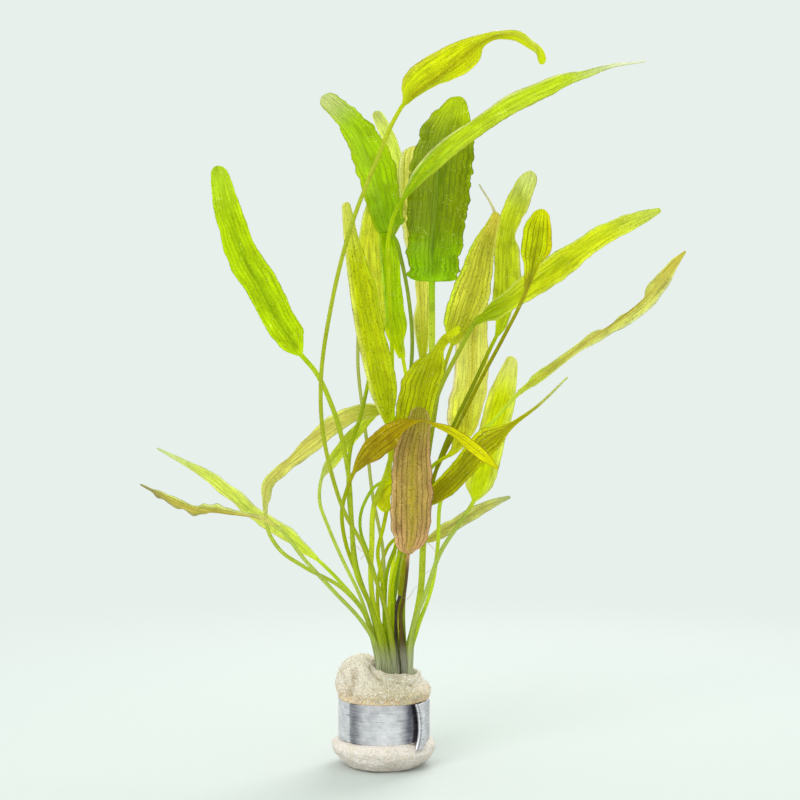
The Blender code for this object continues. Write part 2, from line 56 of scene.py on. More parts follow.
# %% The camera at the photograph's place
EYE = Vector((5.8, -550.0, 131.0))
FRAME_WIDTH = 288.0  # what the picture takes in at the bunch, in mm
SENSOR = 36.0

camera_data = bpy.data.cameras.new("camera")
camera_data.sensor_width = SENSOR
camera_data.lens = SENSOR * -EYE.y / FRAME_WIDTH
camera_data.clip_start = 0.01
camera_data.clip_end = 20.0
camera = bpy.data.objects.new("camera", camera_data)
camera.location = EYE * MM
camera.rotation_euler = (math.radians(90.0), 0.0, 0.0)
bpy.context.scene.collection.objects.link(camera)
bpy.context.scene.camera = camera
print("lens:", round(camera_data.lens, 1), "mm")


# %% [markdown]
# ## Colours and nodes
# Colours are written as a colour picker shows them. The shaders want linear light, so one function turns the
# hex value into it. A second small function adds a node, sets its inputs and joins its links in one call. It
# gives back one output, so calls can be nested as in a formula. Every surface here is then built up as a painter
# would: a ground colour, and other colours laid over it where some value rises.

# %% Helpers for colours and shader nodes
def colour(code):
    """An sRGB hex value as linear light."""
    channels = [int(code[i : i + 2], 16) / 255 for i in (1, 3, 5)]
    linear = [c / 12.92 if c <= 0.04045 else ((c + 0.055) / 1.055) ** 2.4 for c in channels]
    return (*linear, 1.0)


def add(tree, kind, inputs, output=0, **settings):
    """Adds a node and gives back one output. An input is a number, a colour or another node's output."""
    node = tree.nodes.new("ShaderNode" + kind)
    for key, value in settings.items():
        setattr(node, key, value)
    for key, value in inputs.items():
        if isinstance(value, bpy.types.NodeSocket):
            tree.links.new(value, node.inputs[key])
        else:
            node.inputs[key].default_value = value
    return node.outputs[output] if len(node.outputs) else node


def strength(tree, *parts, interpolation="SMOOTHSTEP"):
    """How strongly a layer shows: its parts multiplied. A part is a node's output, or a rise: the value that it
    follows, where it starts, where it is full and how strong it is then."""
    shown = None
    for part in parts:
        if isinstance(part, tuple):
            rise = dict(zip(("Value", "From Min", "From Max", "To Max"), part))
            part = add(tree, "MapRange", rise, interpolation_type=interpolation)
        shown = part if shown is None else add(tree, "Math", {0: shown, 1: part}, operation="MULTIPLY")
    return shown


def lay_over(tree, tone, over, *parts, interpolation="SMOOTHSTEP"):
    """One colour laid over another, as strongly as the parts say."""
    part = strength(tree, *parts, interpolation=interpolation)
    return add(tree, "Mix", {0: part, 6: tone, 7: over}, 2, data_type="RGBA")


def new_material(name):
    """A material with an empty node tree."""
    made = bpy.data.materials.new(name)
    made.use_nodes = True
    made.node_tree.nodes.clear()
    return made, made.node_tree


# %% [markdown]
# ## Floor and light
# The photograph has an even pale ground and light from every side, so that thin leaves glow. A pale world gives
# both. The floor is a disc that fades out with distance, so no horizon crosses the picture. One large soft
# light stands in front, and one behind shines through the blades.

# %% World, floor and lights
BACKGROUND = "#E8F0EC"

world = bpy.data.worlds.new("studio")
world.use_nodes = True
world.node_tree.nodes["Background"].inputs["Color"].default_value = colour(BACKGROUND)
world.node_tree.nodes["Background"].inputs["Strength"].default_value = 1.0
bpy.context.scene.world = world
bpy.context.scene.view_settings.view_transform = "Standard"


def as_mesh(bm, name):
    """The finished bmesh as a smooth mesh."""
    mesh = bpy.data.meshes.new(name)
    bm.to_mesh(mesh)
    bm.free()
    mesh.shade_smooth()
    return mesh


FLOOR_RADIUS = 0.6
floor_material, tree = new_material("pale paper floor")
where = add(tree, "TexCoord", {}, "Object")
distance = add(tree, "VectorMath", {0: where}, "Value", operation="LENGTH")
fade = add(tree, "MapRange", {"Value": distance, "From Min": 0.06, "From Max": FLOOR_RADIUS * 0.8},
           interpolation_type="SMOOTHSTEP")  # fmt: skip
paper = add(tree, "BsdfDiffuse", {"Color": colour("#CDD2CF")})
clear = add(tree, "BsdfTransparent", {})
mixed = add(tree, "MixShader", {0: fade, 1: paper, 2: clear})
add(tree, "OutputMaterial", {"Surface": mixed})

bm = bmesh.new()
bmesh.ops.create_circle(bm, cap_ends=True, segments=64, radius=FLOOR_RADIUS)
floor_mesh = as_mesh(bm, "floor")
floor_mesh.materials.append(floor_material)
floor = bpy.data.objects.new("floor", floor_mesh)
bpy.context.scene.collection.objects.link(floor)


def soft_light(name, place, aim, size, power):
    """A large square light that faces a point, all in metres."""
    data = bpy.data.lights.new(name, "AREA")
    data.size = size
    data.energy = power
    lamp = bpy.data.objects.new(name, data)
    lamp.location = place
    lamp.rotation_euler = (Vector(aim) - Vector(place)).to_track_quat("-Z", "Y").to_euler()
    bpy.context.scene.collection.objects.link(lamp)


soft_light("front light", (-0.5, -0.9, 0.75), (0, 0, 0.13), 0.7, 7.0)
soft_light("back light", (0.35, 0.8, 0.7), (0, 0, 0.15), 0.7, 8.0)
print("floor:", round(2000 * FLOOR_RADIUS), "mm across, lights:", len(bpy.data.lights))


# %% [markdown]
# ## The leaves' lines
# Each leaf is one smooth line from the plug to the tip. These are the same points as the solids follow, in mm:
# how far right, how far behind the plug's axis, and how high, as the eye sees them. The stalk's points come
# first and the blade's after them. A leaf's shape says how far its two margins lie from the midrib, left and
# right as one looks along it from base to tip, at shares of the blade's length. Its roll says how far the blade
# is turned about the midrib there, in degrees. Each of these tables is one text, with a comma after each row.

# %% What makes a leaf
ROW_PITCH = 2.2  # the stalks' feet stand in rows and columns, in mm
FIRST_COLUMN_X = -3.7
FIRST_ROW_Y = -3.3
FOOT_RADIUS_OF_STALK = 1.2
STALK_END = 14.0
LIP = 34.0  # the stalks stand closer together where they leave the foam
LAST_COLUMN_X = FIRST_COLUMN_X + 6 * ROW_PITCH
LIP_RIGHT = 9.4
LIP_SQUEEZE = 0.83
STALK_WIDTH = 0.93


def table(text):
    """Rows of numbers out of a text with a comma after each row."""
    return [tuple(float(number) for number in row.split()) for row in text.split(",")]


class Leaf:
    """One leaf: its foot in the slot, its stalk's and blade's points, and what shapes and colours the blade."""

    def __init__(self, name, foot, stalk, blade, shape, roll, stem=0.75, ruffle=0.5, wave=6.0, nick=0.03, cup=0.1,
                 tip=1.6, tones="", edges="", edge_from=0.7, rib=0.6, vein=0.5, spots=0.4, tip_from=0.7):  # fmt: skip
        self.name, self.foot, self.stem, self.tip = name, foot, stem * STALK_WIDTH, tip
        self.stalk, self.blade, self.shape, self.roll = [table(text) for text in (stalk, blade, shape, roll)]
        self.ruffle, self.wave, self.nick, self.cup = ruffle, wave, nick, cup
        self.tones, self.edges = [["#" + code for code in codes.split()] for codes in (tones, edges)]
        self.rib, self.vein, self.spots, self.edge_from, self.tip_from = rib, vein, spots, edge_from, tip_from
        self.wide = max(max(left, right) for _, left, right in self.shape)


# %% [markdown]
# Every leaf is written down once, in the same order: its name, its foot's column and row, then the tables of its
# stalk, blade, shape and roll. After them comes only what differs from a usual leaf, such as a stronger ruffle.
# The tones go up the leaf, because a leaf is palest where it is youngest and darkens along its midrib.

# %% The leaf tables
# tones: stalk, blade's base, middle, tip, midrib, veins. edges: left margin, right margin
LEAVES = [
    Leaf("leaf_far_left", (1, 0),
         "-1.6 -5.6 46, -4.5 -8.4 56, -10 -12 69, -11.6 -16 87, -13 -20 106, -18.4 -23 128, -25.2 -25 142",
         "-29.8 -27 147.3, -43.2 -31 169, -55.4 -35 195, -60.3 -38 215.3",
         "0 0.9 0.9, 0.05 3.4 4, 0.1 4.8 6.2, 0.2 5.3 6.1, 0.3 5.3 6.8, 0.4 5.3 7, 0.5 6.3 6, 0.6 6 5.3, "
         "0.7 4.9 5.5, 0.8 4.6 5.2, 0.9 3.8 4.4, 1 2.6 3",
         "0 -10, 1 20", stem=0.9, tip=2.8,
         tones="BCCC30 CCE804 BCD804 B8D428 80A004 748004", edges="C0DC04 C8E00C"),
    Leaf("leaf_top_arch", (3, 0),
         "2.4 -5.6 47, 0.4 -8.5 56.6, -3.8 -13 68.6, -7.9 -17 79.3, -13.7 -21 89.6, -18.7 -28 104, "
         "-22.3 -34 122.4, -22.7 -38 137.2, -19.1 -44 164.2, -11.5 -48 194.4, -2.2 -49 218.2, 4.6 -48 233.5",
         "7.2 -47 237.6, 9.4 -46.6 239.6, 13 -45.5 242.3, 19.1 -43.5 246.8, 26.4 -40.5 252.7, 31.3 -38.3 256.7, "
         "36.7 -35 260.3, 42.1 -31.5 262.4, 47.9 -28 262.1, 52.9 -25 259.2, 56.2 -22 256, 57.4 -20 252",
         "0 0.9 0.9, 0.015 1.8 0.8, 0.05 5.4 0.8, 0.1 8 1, 0.2 9 1.5, 0.3 8.2 3.4, 0.38 7.2 5.2, 0.44 6 5, "
         "0.5 4.9 3.2, 0.55 4.2 1.3, 0.6 3.5 1, 0.7 2.5 1.8, 0.8 2.6 2.1, 0.9 2.1 2, 1 1.4 1.4",
         "0 0, 0.4 5, 0.6 30, 0.8 35, 1 40", ruffle=0.3, nick=0.012, tip=1.2, vein=0.6,
         tones="BCC834 CCD810 DCE408 E8F414 948804 A4A410", edges="D4D040 E8EC3C"),
    Leaf("leaf_top_left", (4, 2),
         "4.3 1.8 46, 3.9 2.7 55, 3.9 3.1 63, 5 3.4 71, 6.6 4 80, 7.6 5 100, 8.4 6 125, 10.1 9 155.9, 9 9.5 167, "
         "6.1 10 182.2, 4.4 10 188.5",
         "1.8 10.5 192.2, -1.1 12 204.6, -6 14.5 219.5, -11.3 17 229.5, -22.3 21 240.3",
         "0 1.6 4.8, 0.015 3.8 6.2, 0.1 5 6.9, 0.2 5.6 6.9, 0.3 5.9 7.4, 0.4 6.1 8, 0.5 5.6 7.7, 0.6 5.3 6.8, "
         "0.68 4.7 6.4, 0.73 4.3 5, 0.8 3.4 5.1, 0.84 3.2 4.1, 0.9 3 4.2, 1 2.4 3.4",
         "0 0, 1 -15", ruffle=0.7, nick=0.06, tip=2.6, rib=0.3,
         tones="9CB034 94BC04 ACD004 C8D084 84A804 748004", edges="B4C804 A4C004"),
    Leaf("leaf_long_right", (4, 1),
         "3.7 -1.1 48, 3.2 -1.1 57, 3.1 -0.8 64, 4.2 -0.4 70, 5.6 0 77, 5 -0.6 88, 4.3 -2 100, 3.2 -8 130, "
         "2.9 -13 149, 1.8 -21 178, 1.8 -25 190, 4 -28 198.4",
         "7.4 -30.5 204.1, 18.8 -34 218.6, 37.5 -39 232.7, 59.4 -43.5 244.3, 79.6 -46 251.2, 94.3 -48 253",
         "0 0.8 0.8, 0.1 2.9 3, 0.2 3.3 4.2, 0.3 3 4.3, 0.4 2.7 4, 0.5 3.6 3.8, 0.6 3.2 3.8, 0.7 2.6 2.9, "
         "0.8 0.9 2.4, 0.9 0.6 0.9, 1 0.3 0.4",
         "0 15, 1 20", ruffle=0.3, tip=0.5, edge_from=0.55,
         tones="CCE004 94B804 C4D820 F4F4E0 BCCC04 7C8C10", edges="D4D094 B4C034"),
    Leaf("leaf_broad", (6, 1),
         "8.8 -1.1 41, 10.4 -1 48, 11.9 -0.5 54.5, 13.2 0 62, 14 1.5 76.4, 14.8 5 100, 16 9 125, 17.3 13 150.8, "
         "17.3 15 168",
         "17.3 15.5 173.6, 18 16.5 188.6, 19.4 18 203, 20.5 19 217.4, 22.7 20 228.2, 27.7 21 240.2",
         "0 1.8 1.6, 0.006 5 7, 0.02 8.2 9.6, 0.04 9.4 9.2, 0.07 8.2 10, 0.12 9.2 9.4, 0.2 9.7 10.7, 0.3 10 10.6, "
         "0.4 10.9 11.4, 0.5 11 11.3, 0.6 10.9 11.6, 0.7 9.7 11.5, 0.8 8.9 9.6, 0.86 7.4 8.6, 0.9 5.6 6.8, "
         "0.95 4.2 4.2, 1 2 2.4",
         "0 0, 1 10", stem=1.25, ruffle=1.0, wave=4.5, nick=0.05, tip=2, edge_from=0.85, rib=0.4, vein=0.6, spots=0.6,
         tones="C8D83C 98C804 849804 BCD004 547404 405404", edges="94A804 94AC04"),
    Leaf("leaf_pale_back", (2, 3),
         "0.2 8 60, -0.4 12 77.4, -3.8 18 95, -6.5 25 118.8, -9.4 31 147.6, -7.5 35 168, -3 38 180",
         "2.9 40 190, 5 46 213.8, 3 48 223, -3.2 52 235",
         "0 0.7 0.7, 0.15 2.5 2.5, 0.35 3.8 3.8, 0.5 4 3.4, 0.6 3.6 2.4, 0.7 3 2.3, 0.8 2.6 2.3, 0.9 2.2 2.4, "
         "1 1.5 1.8",
         "0 20, 1 -10", stem=0.7, tip=1.8,
         tones="B8C05C 88A410 E0EC5C C4CC70 CCDC58 90A030", edges="E8F06C DCEC7C"),
    Leaf("leaf_brown_back", (4, 3),
         "5.3 6.6 48, 5.6 10 61, 6.6 14 76, 8.8 19 92, 11 24 115",
         "13.7 29 142.6, 13 33 170.6, 11.9 36 185, 11.2 42 210.2, 11.2 45 222.5",
         "0 0.7 0.7, 0.05 1.2 1.5, 0.1 2 2.2, 0.2 3 3, 0.3 1.8 4, 0.4 1.6 4.4, 0.5 3.5 4.6, 0.7 5.5 5.5, "
         "0.85 6 6, 0.92 5.8 5.5, 1 4 3.5",
         "0 -10, 1 5", tip=3, vein=0.8,
         tones="F4F45C B8C40C F0EC68 DCDC64 CCC834 8C8028", edges="F4F4B8 F4F060"),
    Leaf("leaf_mid_left", (2, 1),
         "0.4 -1.1 48, 0 -1.3 59, -0.8 -3.5 67, -2.2 -6.5 76, -0.1 -9 85.7, 1.6 -11 95, 2.2 -14 108",
         "1.4 -17 122, -2.2 -21 141.8, -5.9 -24 159.8, -9.8 -27 180.7, -13.5 -30 202.3",
         "0 0.8 0.8, 0.05 2.4 2.6, 0.1 3.6 4.2, 0.2 4.6 5.8, 0.3 4.9 5.8, 0.4 5 5.2, 0.5 4.8 5.1, 0.6 4.5 5.4, "
         "0.7 4 4, 0.8 3.3 2.8, 0.9 2.7 1.8, 1 1.7 1.3",
         "0 10, 1 -15", tip=1.5, edge_from=0.5, rib=0.4, spots=0.8,
         tones="D0DC1C BCC804 D8E00C E4E864 ACBC04 7C7C08", edges="F0F078 CCDC1C"),
    Leaf("leaf_olive_back", (1, 2),
         "-2.2 1.3 46, -5.5 1.5 58, -9.5 0 70, -11.5 -3 85, -12.8 -4 100, -11.9 -4 114, -8.3 -3 125.6, -5 0 140",
         "-3.6 1 145.4, -1.8 5 157, -4.2 11 174, -4.9 16 190.4, -0.5 21 210.2",
         "0 0.6 0.6, 0.15 2 2, 0.3 3.8 3.6, 0.45 4.6 4.4, 0.6 4.4 4.2, 0.7 4 4, 0.8 3.9 3.6, 0.9 2.7 2.6, "
         "1 1.2 1.2",
         "0 25, 1 0", tip=1.2,
         tones="A8BC14 C4D404 D8DC24 D4DC24 CCCC24 808804", edges="DCE47C A0D434"),
    Leaf("leaf_green_back", (3, 2),
         "2.2 2.8 47, 1.9 4.8 56, 2.5 6.8 66, 4.2 9 79, 6.2 12.5 110, 7.9 15 140",
         "6.8 15.5 146.2, 2.5 18 167, 1.4 22 188.6, 0.7 25 201.2",
         "0 1.5 0.8, 0.1 3 1.8, 0.2 4.2 4, 0.3 4.6 4.3, 0.4 4.6 4.4, 0.5 4.5 4.3, 0.6 3.9 4.2, 0.7 3 3.4, "
         "0.8 2.5 2.4, 0.9 1.8 1.6, 1 0.8 0.8",
         "0 -10, 1 5", tip=0.9, rib=0.3,
         tones="ECF434 D4E404 B8D804 ACD404 94B804 789404", edges="F4F418 C4E004"),
    Leaf("leaf_front_brown", (5, 0),
         "7.2 -4 37, 6.3 -6 47.5, 6.1 -8 53.7, 7.2 -10.5 59.9, 8.4 -15 70.2",
         "8.8 -18 75.6, 10.1 -21 82.4, 10.1 -25 96.8, 10.4 -28 110, 12.2 -31 120.2, 13 -33 128.5",
         "0 1.4 1.2, 0.02 3.8 2.6, 0.06 5.4 4.4, 0.12 6.8 5.8, 0.2 7.9 6.5, 0.3 7.9 6.9, 0.4 7.4 7.6, "
         "0.5 7.4 7.3, 0.6 7.2 7, 0.7 6.9 6, 0.8 6 5, 0.9 4.2 4.2, 1 3 3",
         "0 -4, 1 6", stem=0.6, ruffle=0.3, tip=2.8, edge_from=0.75, vein=1.0, spots=0.8,
         tones="6C5A2C E8BC84 D4B468 B8B03C C8B828 6C4018", edges="F0CCA0 E0B088"),
    Leaf("leaf_twisted", (1, 1),
         "-1.9 -1.4 46, -5.2 -2.4 58, -10 -5.5 69, -13.7 -9 79.3, -15.1 -15.5 91, -13.2 -22 99",
         "-10.6 -27 105.3, -5.8 -32 111.4, 4 -38 119.6, 8.6 -40.4 122.4, 13.6 -42 123.4, 22 -44 121, "
         "33.8 -45 113, 41 -44 106.2",
         "0 0.8 0.8, 0.05 1.9 1.7, 0.1 3 2.4, 0.2 4.4 4.3, 0.3 4.4 4.5, 0.4 3 2, 0.47 1.3 1, 0.53 0.8 0.8, "
         "0.6 1.2 1.3, 0.7 1.7 1.5, 0.8 2.3 1.9, 0.9 1.5 1.8, 1 0.5 0.5",
         "0 15, 0.3 20, 0.42 50, 0.5 82, 0.6 110, 0.8 135, 1 145", tip=0.7, vein=0.8, tip_from=0.44,
         tones="B8C410 B8AC18 C8B404 F4F404 A08408 6C3C08", edges="B89C14 B89C14"),
    Leaf("leaf_middle", (2, 0),
         "-0.9 -3.6 48, -3.6 -5.2 56.6, -4.7 -7.6 66, -4.4 -11 77.8, -3 -15.5 95, 0.4 -17 103",
         "3.6 -19 113, 10.1 -22 123.8, 12.2 -23 131, 14.4 -24 140, 19.8 -25 150.8, 27.4 -27 157.3",
         "0 0.9 0.9, 0.08 3.5 3.5, 0.18 6 6, 0.3 6.5 6.5, 0.4 7.1 6.3, 0.5 7.1 6.6, 0.6 5.4 6.8, 0.7 2.8 5.8, "
         "0.8 1.6 2.8, 0.9 1.4 1.9, 1 1 1.5",
         "0 -10, 0.6 0, 0.8 30, 1 20", stem=1.0, tip=1.4, rib=0.4, vein=0.9, spots=0.6,
         tones="D8E434 B4C004 C8D004 ECF404 989C04 6C6804", edges="C4C804 D8E424"),
    Leaf("leaf_tall_right", (5, 3),
         "7 4 45, 6.9 4.9 53, 7.6 5.8 66, 9 8 82, 13.5 9.5 96, 17.2 9 118, 20.7 9 138.5",
         "24.6 9.6 151, 28 10.2 158.5, 32.5 12 172, 36.3 16 187, 40.9 20 198.6",
         "0 1 1, 0.05 3.5 2.5, 0.125 6.4 4.2, 0.25 7.3 5.6, 0.375 7.2 6.5, 0.5 6.2 5.6, 0.625 5.2 4.9, "
         "0.75 4 4.1, 0.875 2.4 2.8, 1 1.5 1.6",
         "0 10, 1 -15", tip=1.6, edge_from=0.6, vein=0.8, spots=0.7,
         tones="A8B424 C8D018 E0E048 ECDC54 B4B424 7C700C", edges="D0E428 F4F474"),
    Leaf("leaf_upper_right", (6, 3),
         "10.2 4.4 47, 11.8 5.4 54.5, 13.2 6.4 62, 14.2 7 76, 15.6 6.8 90, 18.6 2.6 105, 24.2 -0.5 120, "
         "32 1.5 136, 38.9 9 150.8",
         "40.7 12 154.4, 44.2 20 170.6, 44.6 27 188.6, 49 34 204.8, 52.9 38 213.5",
         "0 0.8 0.8, 0.08 2.2 2.5, 0.2 4.5 3.6, 0.3 4.8 5.2, 0.4 4.7 4.9, 0.5 4.5 4.7, 0.6 4.5 2.6, 0.7 4.5 3.4, "
         "0.8 4.1 4.3, 0.9 3.3 4.1, 1 1.8 2.6",
         "0 -15, 1 15", tip=2.3,
         tones="9CA804 C0D404 C8D420 D4DC7C A8B404 7C8C08", edges="D8DC40 D4D468"),
    Leaf("leaf_thin_tip", (3, 3),
         "3 5.5 46, 3.4 7.4 56, 4.9 7.4 66, 6.9 6 76, 10.3 3.6 90, 14.2 -0.6 100.5, 18.6 -6.4 108.2, "
         "20.9 -6.8 109.7",
         "23.4 -5 111.1, 28.4 3.5 117, 31 11 132, 32.6 19 156.2, 36.6 27 183, 40 31 197.6, 34.2 36 208.8",
         "0 0.8 0.8, 0.05 2.2 1.4, 0.1 5.5 2.4, 0.2 7.6 4.9, 0.3 6.6 5.8, 0.4 6.2 5.5, 0.5 5.5 4.4, 0.6 4.5 3.6, "
         "0.7 3.2 2.8, 0.8 1.6 1.5, 0.85 0.8 0.8, 0.9 0.5 0.5, 1 0.3 0.3",
         "0 15, 1 0", stem=0.7, tip=0.4, vein=0.6,
         tones="A0BC04 F0F404 E8E86C E8E4C4 BCB004 988C40", edges="ECDCA8 E4DC74"),
    Leaf("leaf_small_yellow", (5, 1),
         "6.6 -1.3 44, 5.9 -1.6 54, 6.1 -1.8 63, 7.4 -2.2 72, 9.6 -2.6 80, 13.6 -2.6 91, 18 -2.4 103.7, "
         "25.6 -5.4 119.5, 36 -12 140.4, 43.9 -17 155.2, 49.7 -21 166.7",
         "51.5 -23 171, 54.7 -28 185, 55.4 -30 190, 56.9 -34 199.8",
         "0 1.1 0.7, 0.1 2.2 1.1, 0.2 2.8 1.5, 0.3 3.6 2.1, 0.4 5.1 4, 0.5 5.4 5.5, 0.6 5.5 5.3, 0.7 5.5 4.9, "
         "0.8 5 4.2, 0.9 3.7 3.3, 1 2.6 2.4",
         "0 20, 1 -10", stem=0.7, tip=2.4, edge_from=0.5, vein=0.9,
         tones="A0A004 BCB424 CCD804 E4EC04 848404 5C5004", edges="D4E004 E0D404"),
    Leaf("leaf_bright_right", (5, 2),
         "6.7 1 46, 5.8 0.9 57, 6.3 0.6 68, 7.8 0.1 79, 10 -0.9 92, 14.8 -3.5 116.6, 20.2 -6 135, 27.7 -8 149.8",
         "33 -9.5 159, 47.2 -12 168.5, 67 -17 183, 82 -21 192.4, 99.7 -25 199.6",
         "0 0.9 1.2, 0.05 1.4 2.8, 0.1 2.2 4.4, 0.2 3.5 3.8, 0.3 4.5 4.7, 0.4 4.4 5.4, 0.5 4.5 5.5, 0.6 3.4 4.4, "
         "0.7 3.7 4, 0.8 2.9 3.8, 0.9 2.4 2.7, 1 0.9 1",
         "0 10, 1 15", stem=0.9, ruffle=0.7, tip=0.9,
         tones="B8C43C A0B804 D4DC14 CCD854 A8B804 808C0C", edges="D0DC70 E0E858"),
    Leaf("leaf_red_tip", (6, 2),
         "9.6 1.3 41.4, 11.5 1.6 47.5, 17.3 2 64, 19.4 2 78.5, 20.5 1 95, 30.2 0 113.8, 40 0 124.2",
         "48.6 -2 133.4, 58 -4 140.3, 72.3 -7 151.4, 93.4 -11 166.9, 108.7 -14 184.6",
         "0 0.9 0.7, 0.05 1.4 1, 0.1 2.6 1.5, 0.2 2.4 1.3, 0.3 1.9 1.2, 0.4 2 1.9, 0.5 1.4 2.7, 0.6 1.7 3.2, "
         "0.7 1.6 3.6, 0.8 2.9 3.2, 0.9 2.4 1.6, 1 0.4 0.4",
         "0 35, 1 40", tip=0.5,
         tones="D4E838 C8D444 D4D468 CCC04C AC941C 807C3C", edges="E0E490 E0E8AC"),
    Leaf("leaf_dark_right", (2, 2),
         "0.6 1.2 50, 0.4 1.2 60.8, 1.1 0 69, 4 -2.5 77.4, 8 -5.5 85",
         "13 -9 91.3, 18.1 -11 96.5, 26.8 -13.5 104.6, 35.6 -15 114.3, 46.8 -16 122.6, 55 -17 128.6, "
         "66.2 -19 139.3",
         "0 0.8 0.8, 0.05 2 2, 0.1 3.2 3.3, 0.2 3.7 4.5, 0.3 4 4, 0.4 4.7 4.4, 0.5 5.2 4.3, 0.55 3.6 3.2, "
         "0.6 1.9 1.8, 0.66 0.9 0.9, 0.75 0.6 0.6, 1 0.35 0.35",
         "0 -12, 1 15", tip=0.4, edge_from=0.5, vein=0.9, spots=0.5,
         tones="ACC008 A49804 BCBC04 E4EC9C 989004 606004", edges="DCE404 C4C404"),
    Leaf("leaf_light_right", (6, 0),
         "9.4 -3.4 40, 10.7 -3.8 49.7, 15.2 -4 62, 20.5 -3 76.4, 27.4 1 87",
         "32.5 7 95, 34.9 12 103, 38.3 22 117.5, 42.3 30 131, 45.2 35 141.3, 46.6 38 146.5",
         "0 1 1, 0.04 3 2.4, 0.1 4.9 4.4, 0.2 4.9 5.6, 0.3 4.8 5.6, 0.4 4.6 5.8, 0.5 4.7 5.5, 0.6 5 5.6, "
         "0.7 5.1 5.3, 0.8 4.3 4.3, 0.9 3.2 3.1, 1 2 1.8",
         "0 0, 1 -15", stem=0.85, tip=1.9, edge_from=0.4, spots=0.15,
         tones="C4D464 DCEC14 E4EC04 F4F488 D8E804 9CA404", edges="E8E868 E4EC6C"),
    Leaf("leaf_low_right", (1, 3),
         "-1.8 8 50, -1.3 17 70.2, 3.2 25.5 80.3, 8 31 82.5",
         "14.4 35 80.4, 23.4 39.5 85, 29.2 43 88.4, 34.2 46 91.4, 39.6 49 94, 45.6 51 96.1",
         "0 0.7 0.7, 0.2 2 2, 0.4 2.2 2.1, 0.6 2.2 2, 0.75 1.8 1.6, 0.9 1.2 1, 1 0.5 0.5",
         "0 40, 1 30", stem=0.7, tip=0.6,
         tones="B4C004 CCC84C DCDC74 C8D08C 8C8420 888048", edges="D0D888 D0D48C"),
    Leaf("leaf_low_left", (0, 3),
         "-4 6 47, -7.2 9 54.7, -16.2 15 66",
         "-24.1 20 73.8, -33.8 24 81.4, -48.2 30 91.8, -61.9 36 102.8, -81.7 43 113.6",
         "0 0.8 0.8, 0.05 1.5 1.5, 0.1 2.2 2, 0.2 2.4 3, 0.3 3 2.5, 0.4 3.3 2, 0.5 2.5 2.9, 0.6 2.7 2.2, "
         "0.7 2.1 2.2, 0.8 1.4 1.4, 0.9 0.9 0.9, 1 0.4 0.4",
         "0 25, 1 20", tip=0.5, spots=0.1,
         tones="B8D024 D4E444 D4DC60 D4E09C B8CC3C 84943C", edges="D4D470 D8E0B0"),
    Leaf("leaf_ruffled_left", (0, 0),
         "-4 -4 45.4, -7.9 -5.5 51.2, -17.9 -9.5 62, -28.4 -14 73.4, -38.5 -19 85.3",
         "-43.5 -21 88.2, -57.2 -26 90.4, -68.8 -30 92, -79.6 -34 96.8, -87.8 -37 100.6",
         "0 0.6 0.6, 0.1 0.6 0.7, 0.2 0.7 1.3, 0.3 0.9 1.9, 0.4 1.4 2.5, 0.5 2.2 2.5, 0.57 2.3 1.1, 0.65 2.2 1.6, "
         "0.72 2 1.9, 0.8 1.6 1.1, 0.9 0.9 0.7, 1 0.4 0.4",
         "0 45, 1 40", ruffle=1.0, wave=3.5, tip=0.5, edge_from=0.35, vein=0.8,
         tones="C4D460 ECE078 D0C854 A89C68 BCA854 787030", edges="B0A880 E4F098"),
    Leaf("leaf_bent_left", (0, 1),
         "-4.2 -1.3 46, -7 -2 54, -15 -4 63.2, -28.8 -6 71, -37.4 -5.5 77, -42 -4 85",
         "-42.6 -3 90, -41.7 0 100, -38.2 2 104.9, -24.7 6 117.7, -12 8 125.3, 0.4 10 127.4",
         "0 0.6 0.6, 0.05 1 1.1, 0.1 1.6 2, 0.2 2.7 1.9, 0.3 1.8 2.7, 0.4 1.6 3.8, 0.5 2.2 4.3, 0.6 2.8 3.7, "
         "0.7 3.3 3.3, 0.8 3.3 2.6, 0.9 3.2 2.3, 1 1 1",
         "0 30, 1 15", tip=1.5,
         tones="C0D044 C4C868 E0DC6C B0B818 C4B850 888040", edges="ECF490 D0D078"),
    Leaf("leaf_small_left", (0, 2),
         "-4.5 3 48, -8.4 5 60, -14.5 8 72.7, -19.9 11 85, -23.2 13 95",
         "-22.2 14 103.5, -16.2 15 112.3, -6.8 17 122.8, -2.2 18 126.7",
         "0 0.7 0.7, 0.12 1.2 2, 0.25 2 2.2, 0.4 2.2 2.3, 0.55 2.3 2.2, 0.7 2.2 2.1, 0.85 1.9 1.5, 1 0.7 0.7",
         "0 30, 1 20", stem=0.7, tip=0.8,
         tones="C4D458 D0DC74 CCDC34 C4D430 B4C028 808C1C", edges="CCD854 ECF444"),
    Leaf("leaf_curled", (3, 1),
         "2.3 -2.1 44, 1 -3.2 51.8, -0.7 -4.8 59, -2.6 -6 66, -5.4 -7.8 75.2, -8.4 -10.5 84, -8.5 -13 89, "
         "-6.5 -16 95, -2.2 -20 100.6, 3.2 -20 102.6",
         "4.9 -18.5 102, 2.7 -17 101, 0.7 -15.5 99, -0.3 -14.5 96.5, 0 -14 93.6, 1.8 -13.6 90.8",
         "0 0.6 0.6, 0.15 1.2 1, 0.35 2.4 2, 0.55 2.8 2.6, 0.75 2.6 2.6, 0.9 2 2, 1 1.2 1.2",
         "0 0, 1 0", stem=0.6, tip=1.4,
         tones="B0CC24 ECF410 F0F410 D8E418 ACA420 909C0C", edges="DCE01C F0F410"),
]  # fmt: skip
print("leaves:", len(LEAVES))


# %% [markdown]
# ## From points to a smooth line
# A curve through all the points is sampled finely, and sections are then set along it. They stand closer
# together at the two ends of a blade, where its outline turns fastest. Widths and rolls are read from their
# short tables by a curve that keeps between its neighbours, so that it never swings past them.

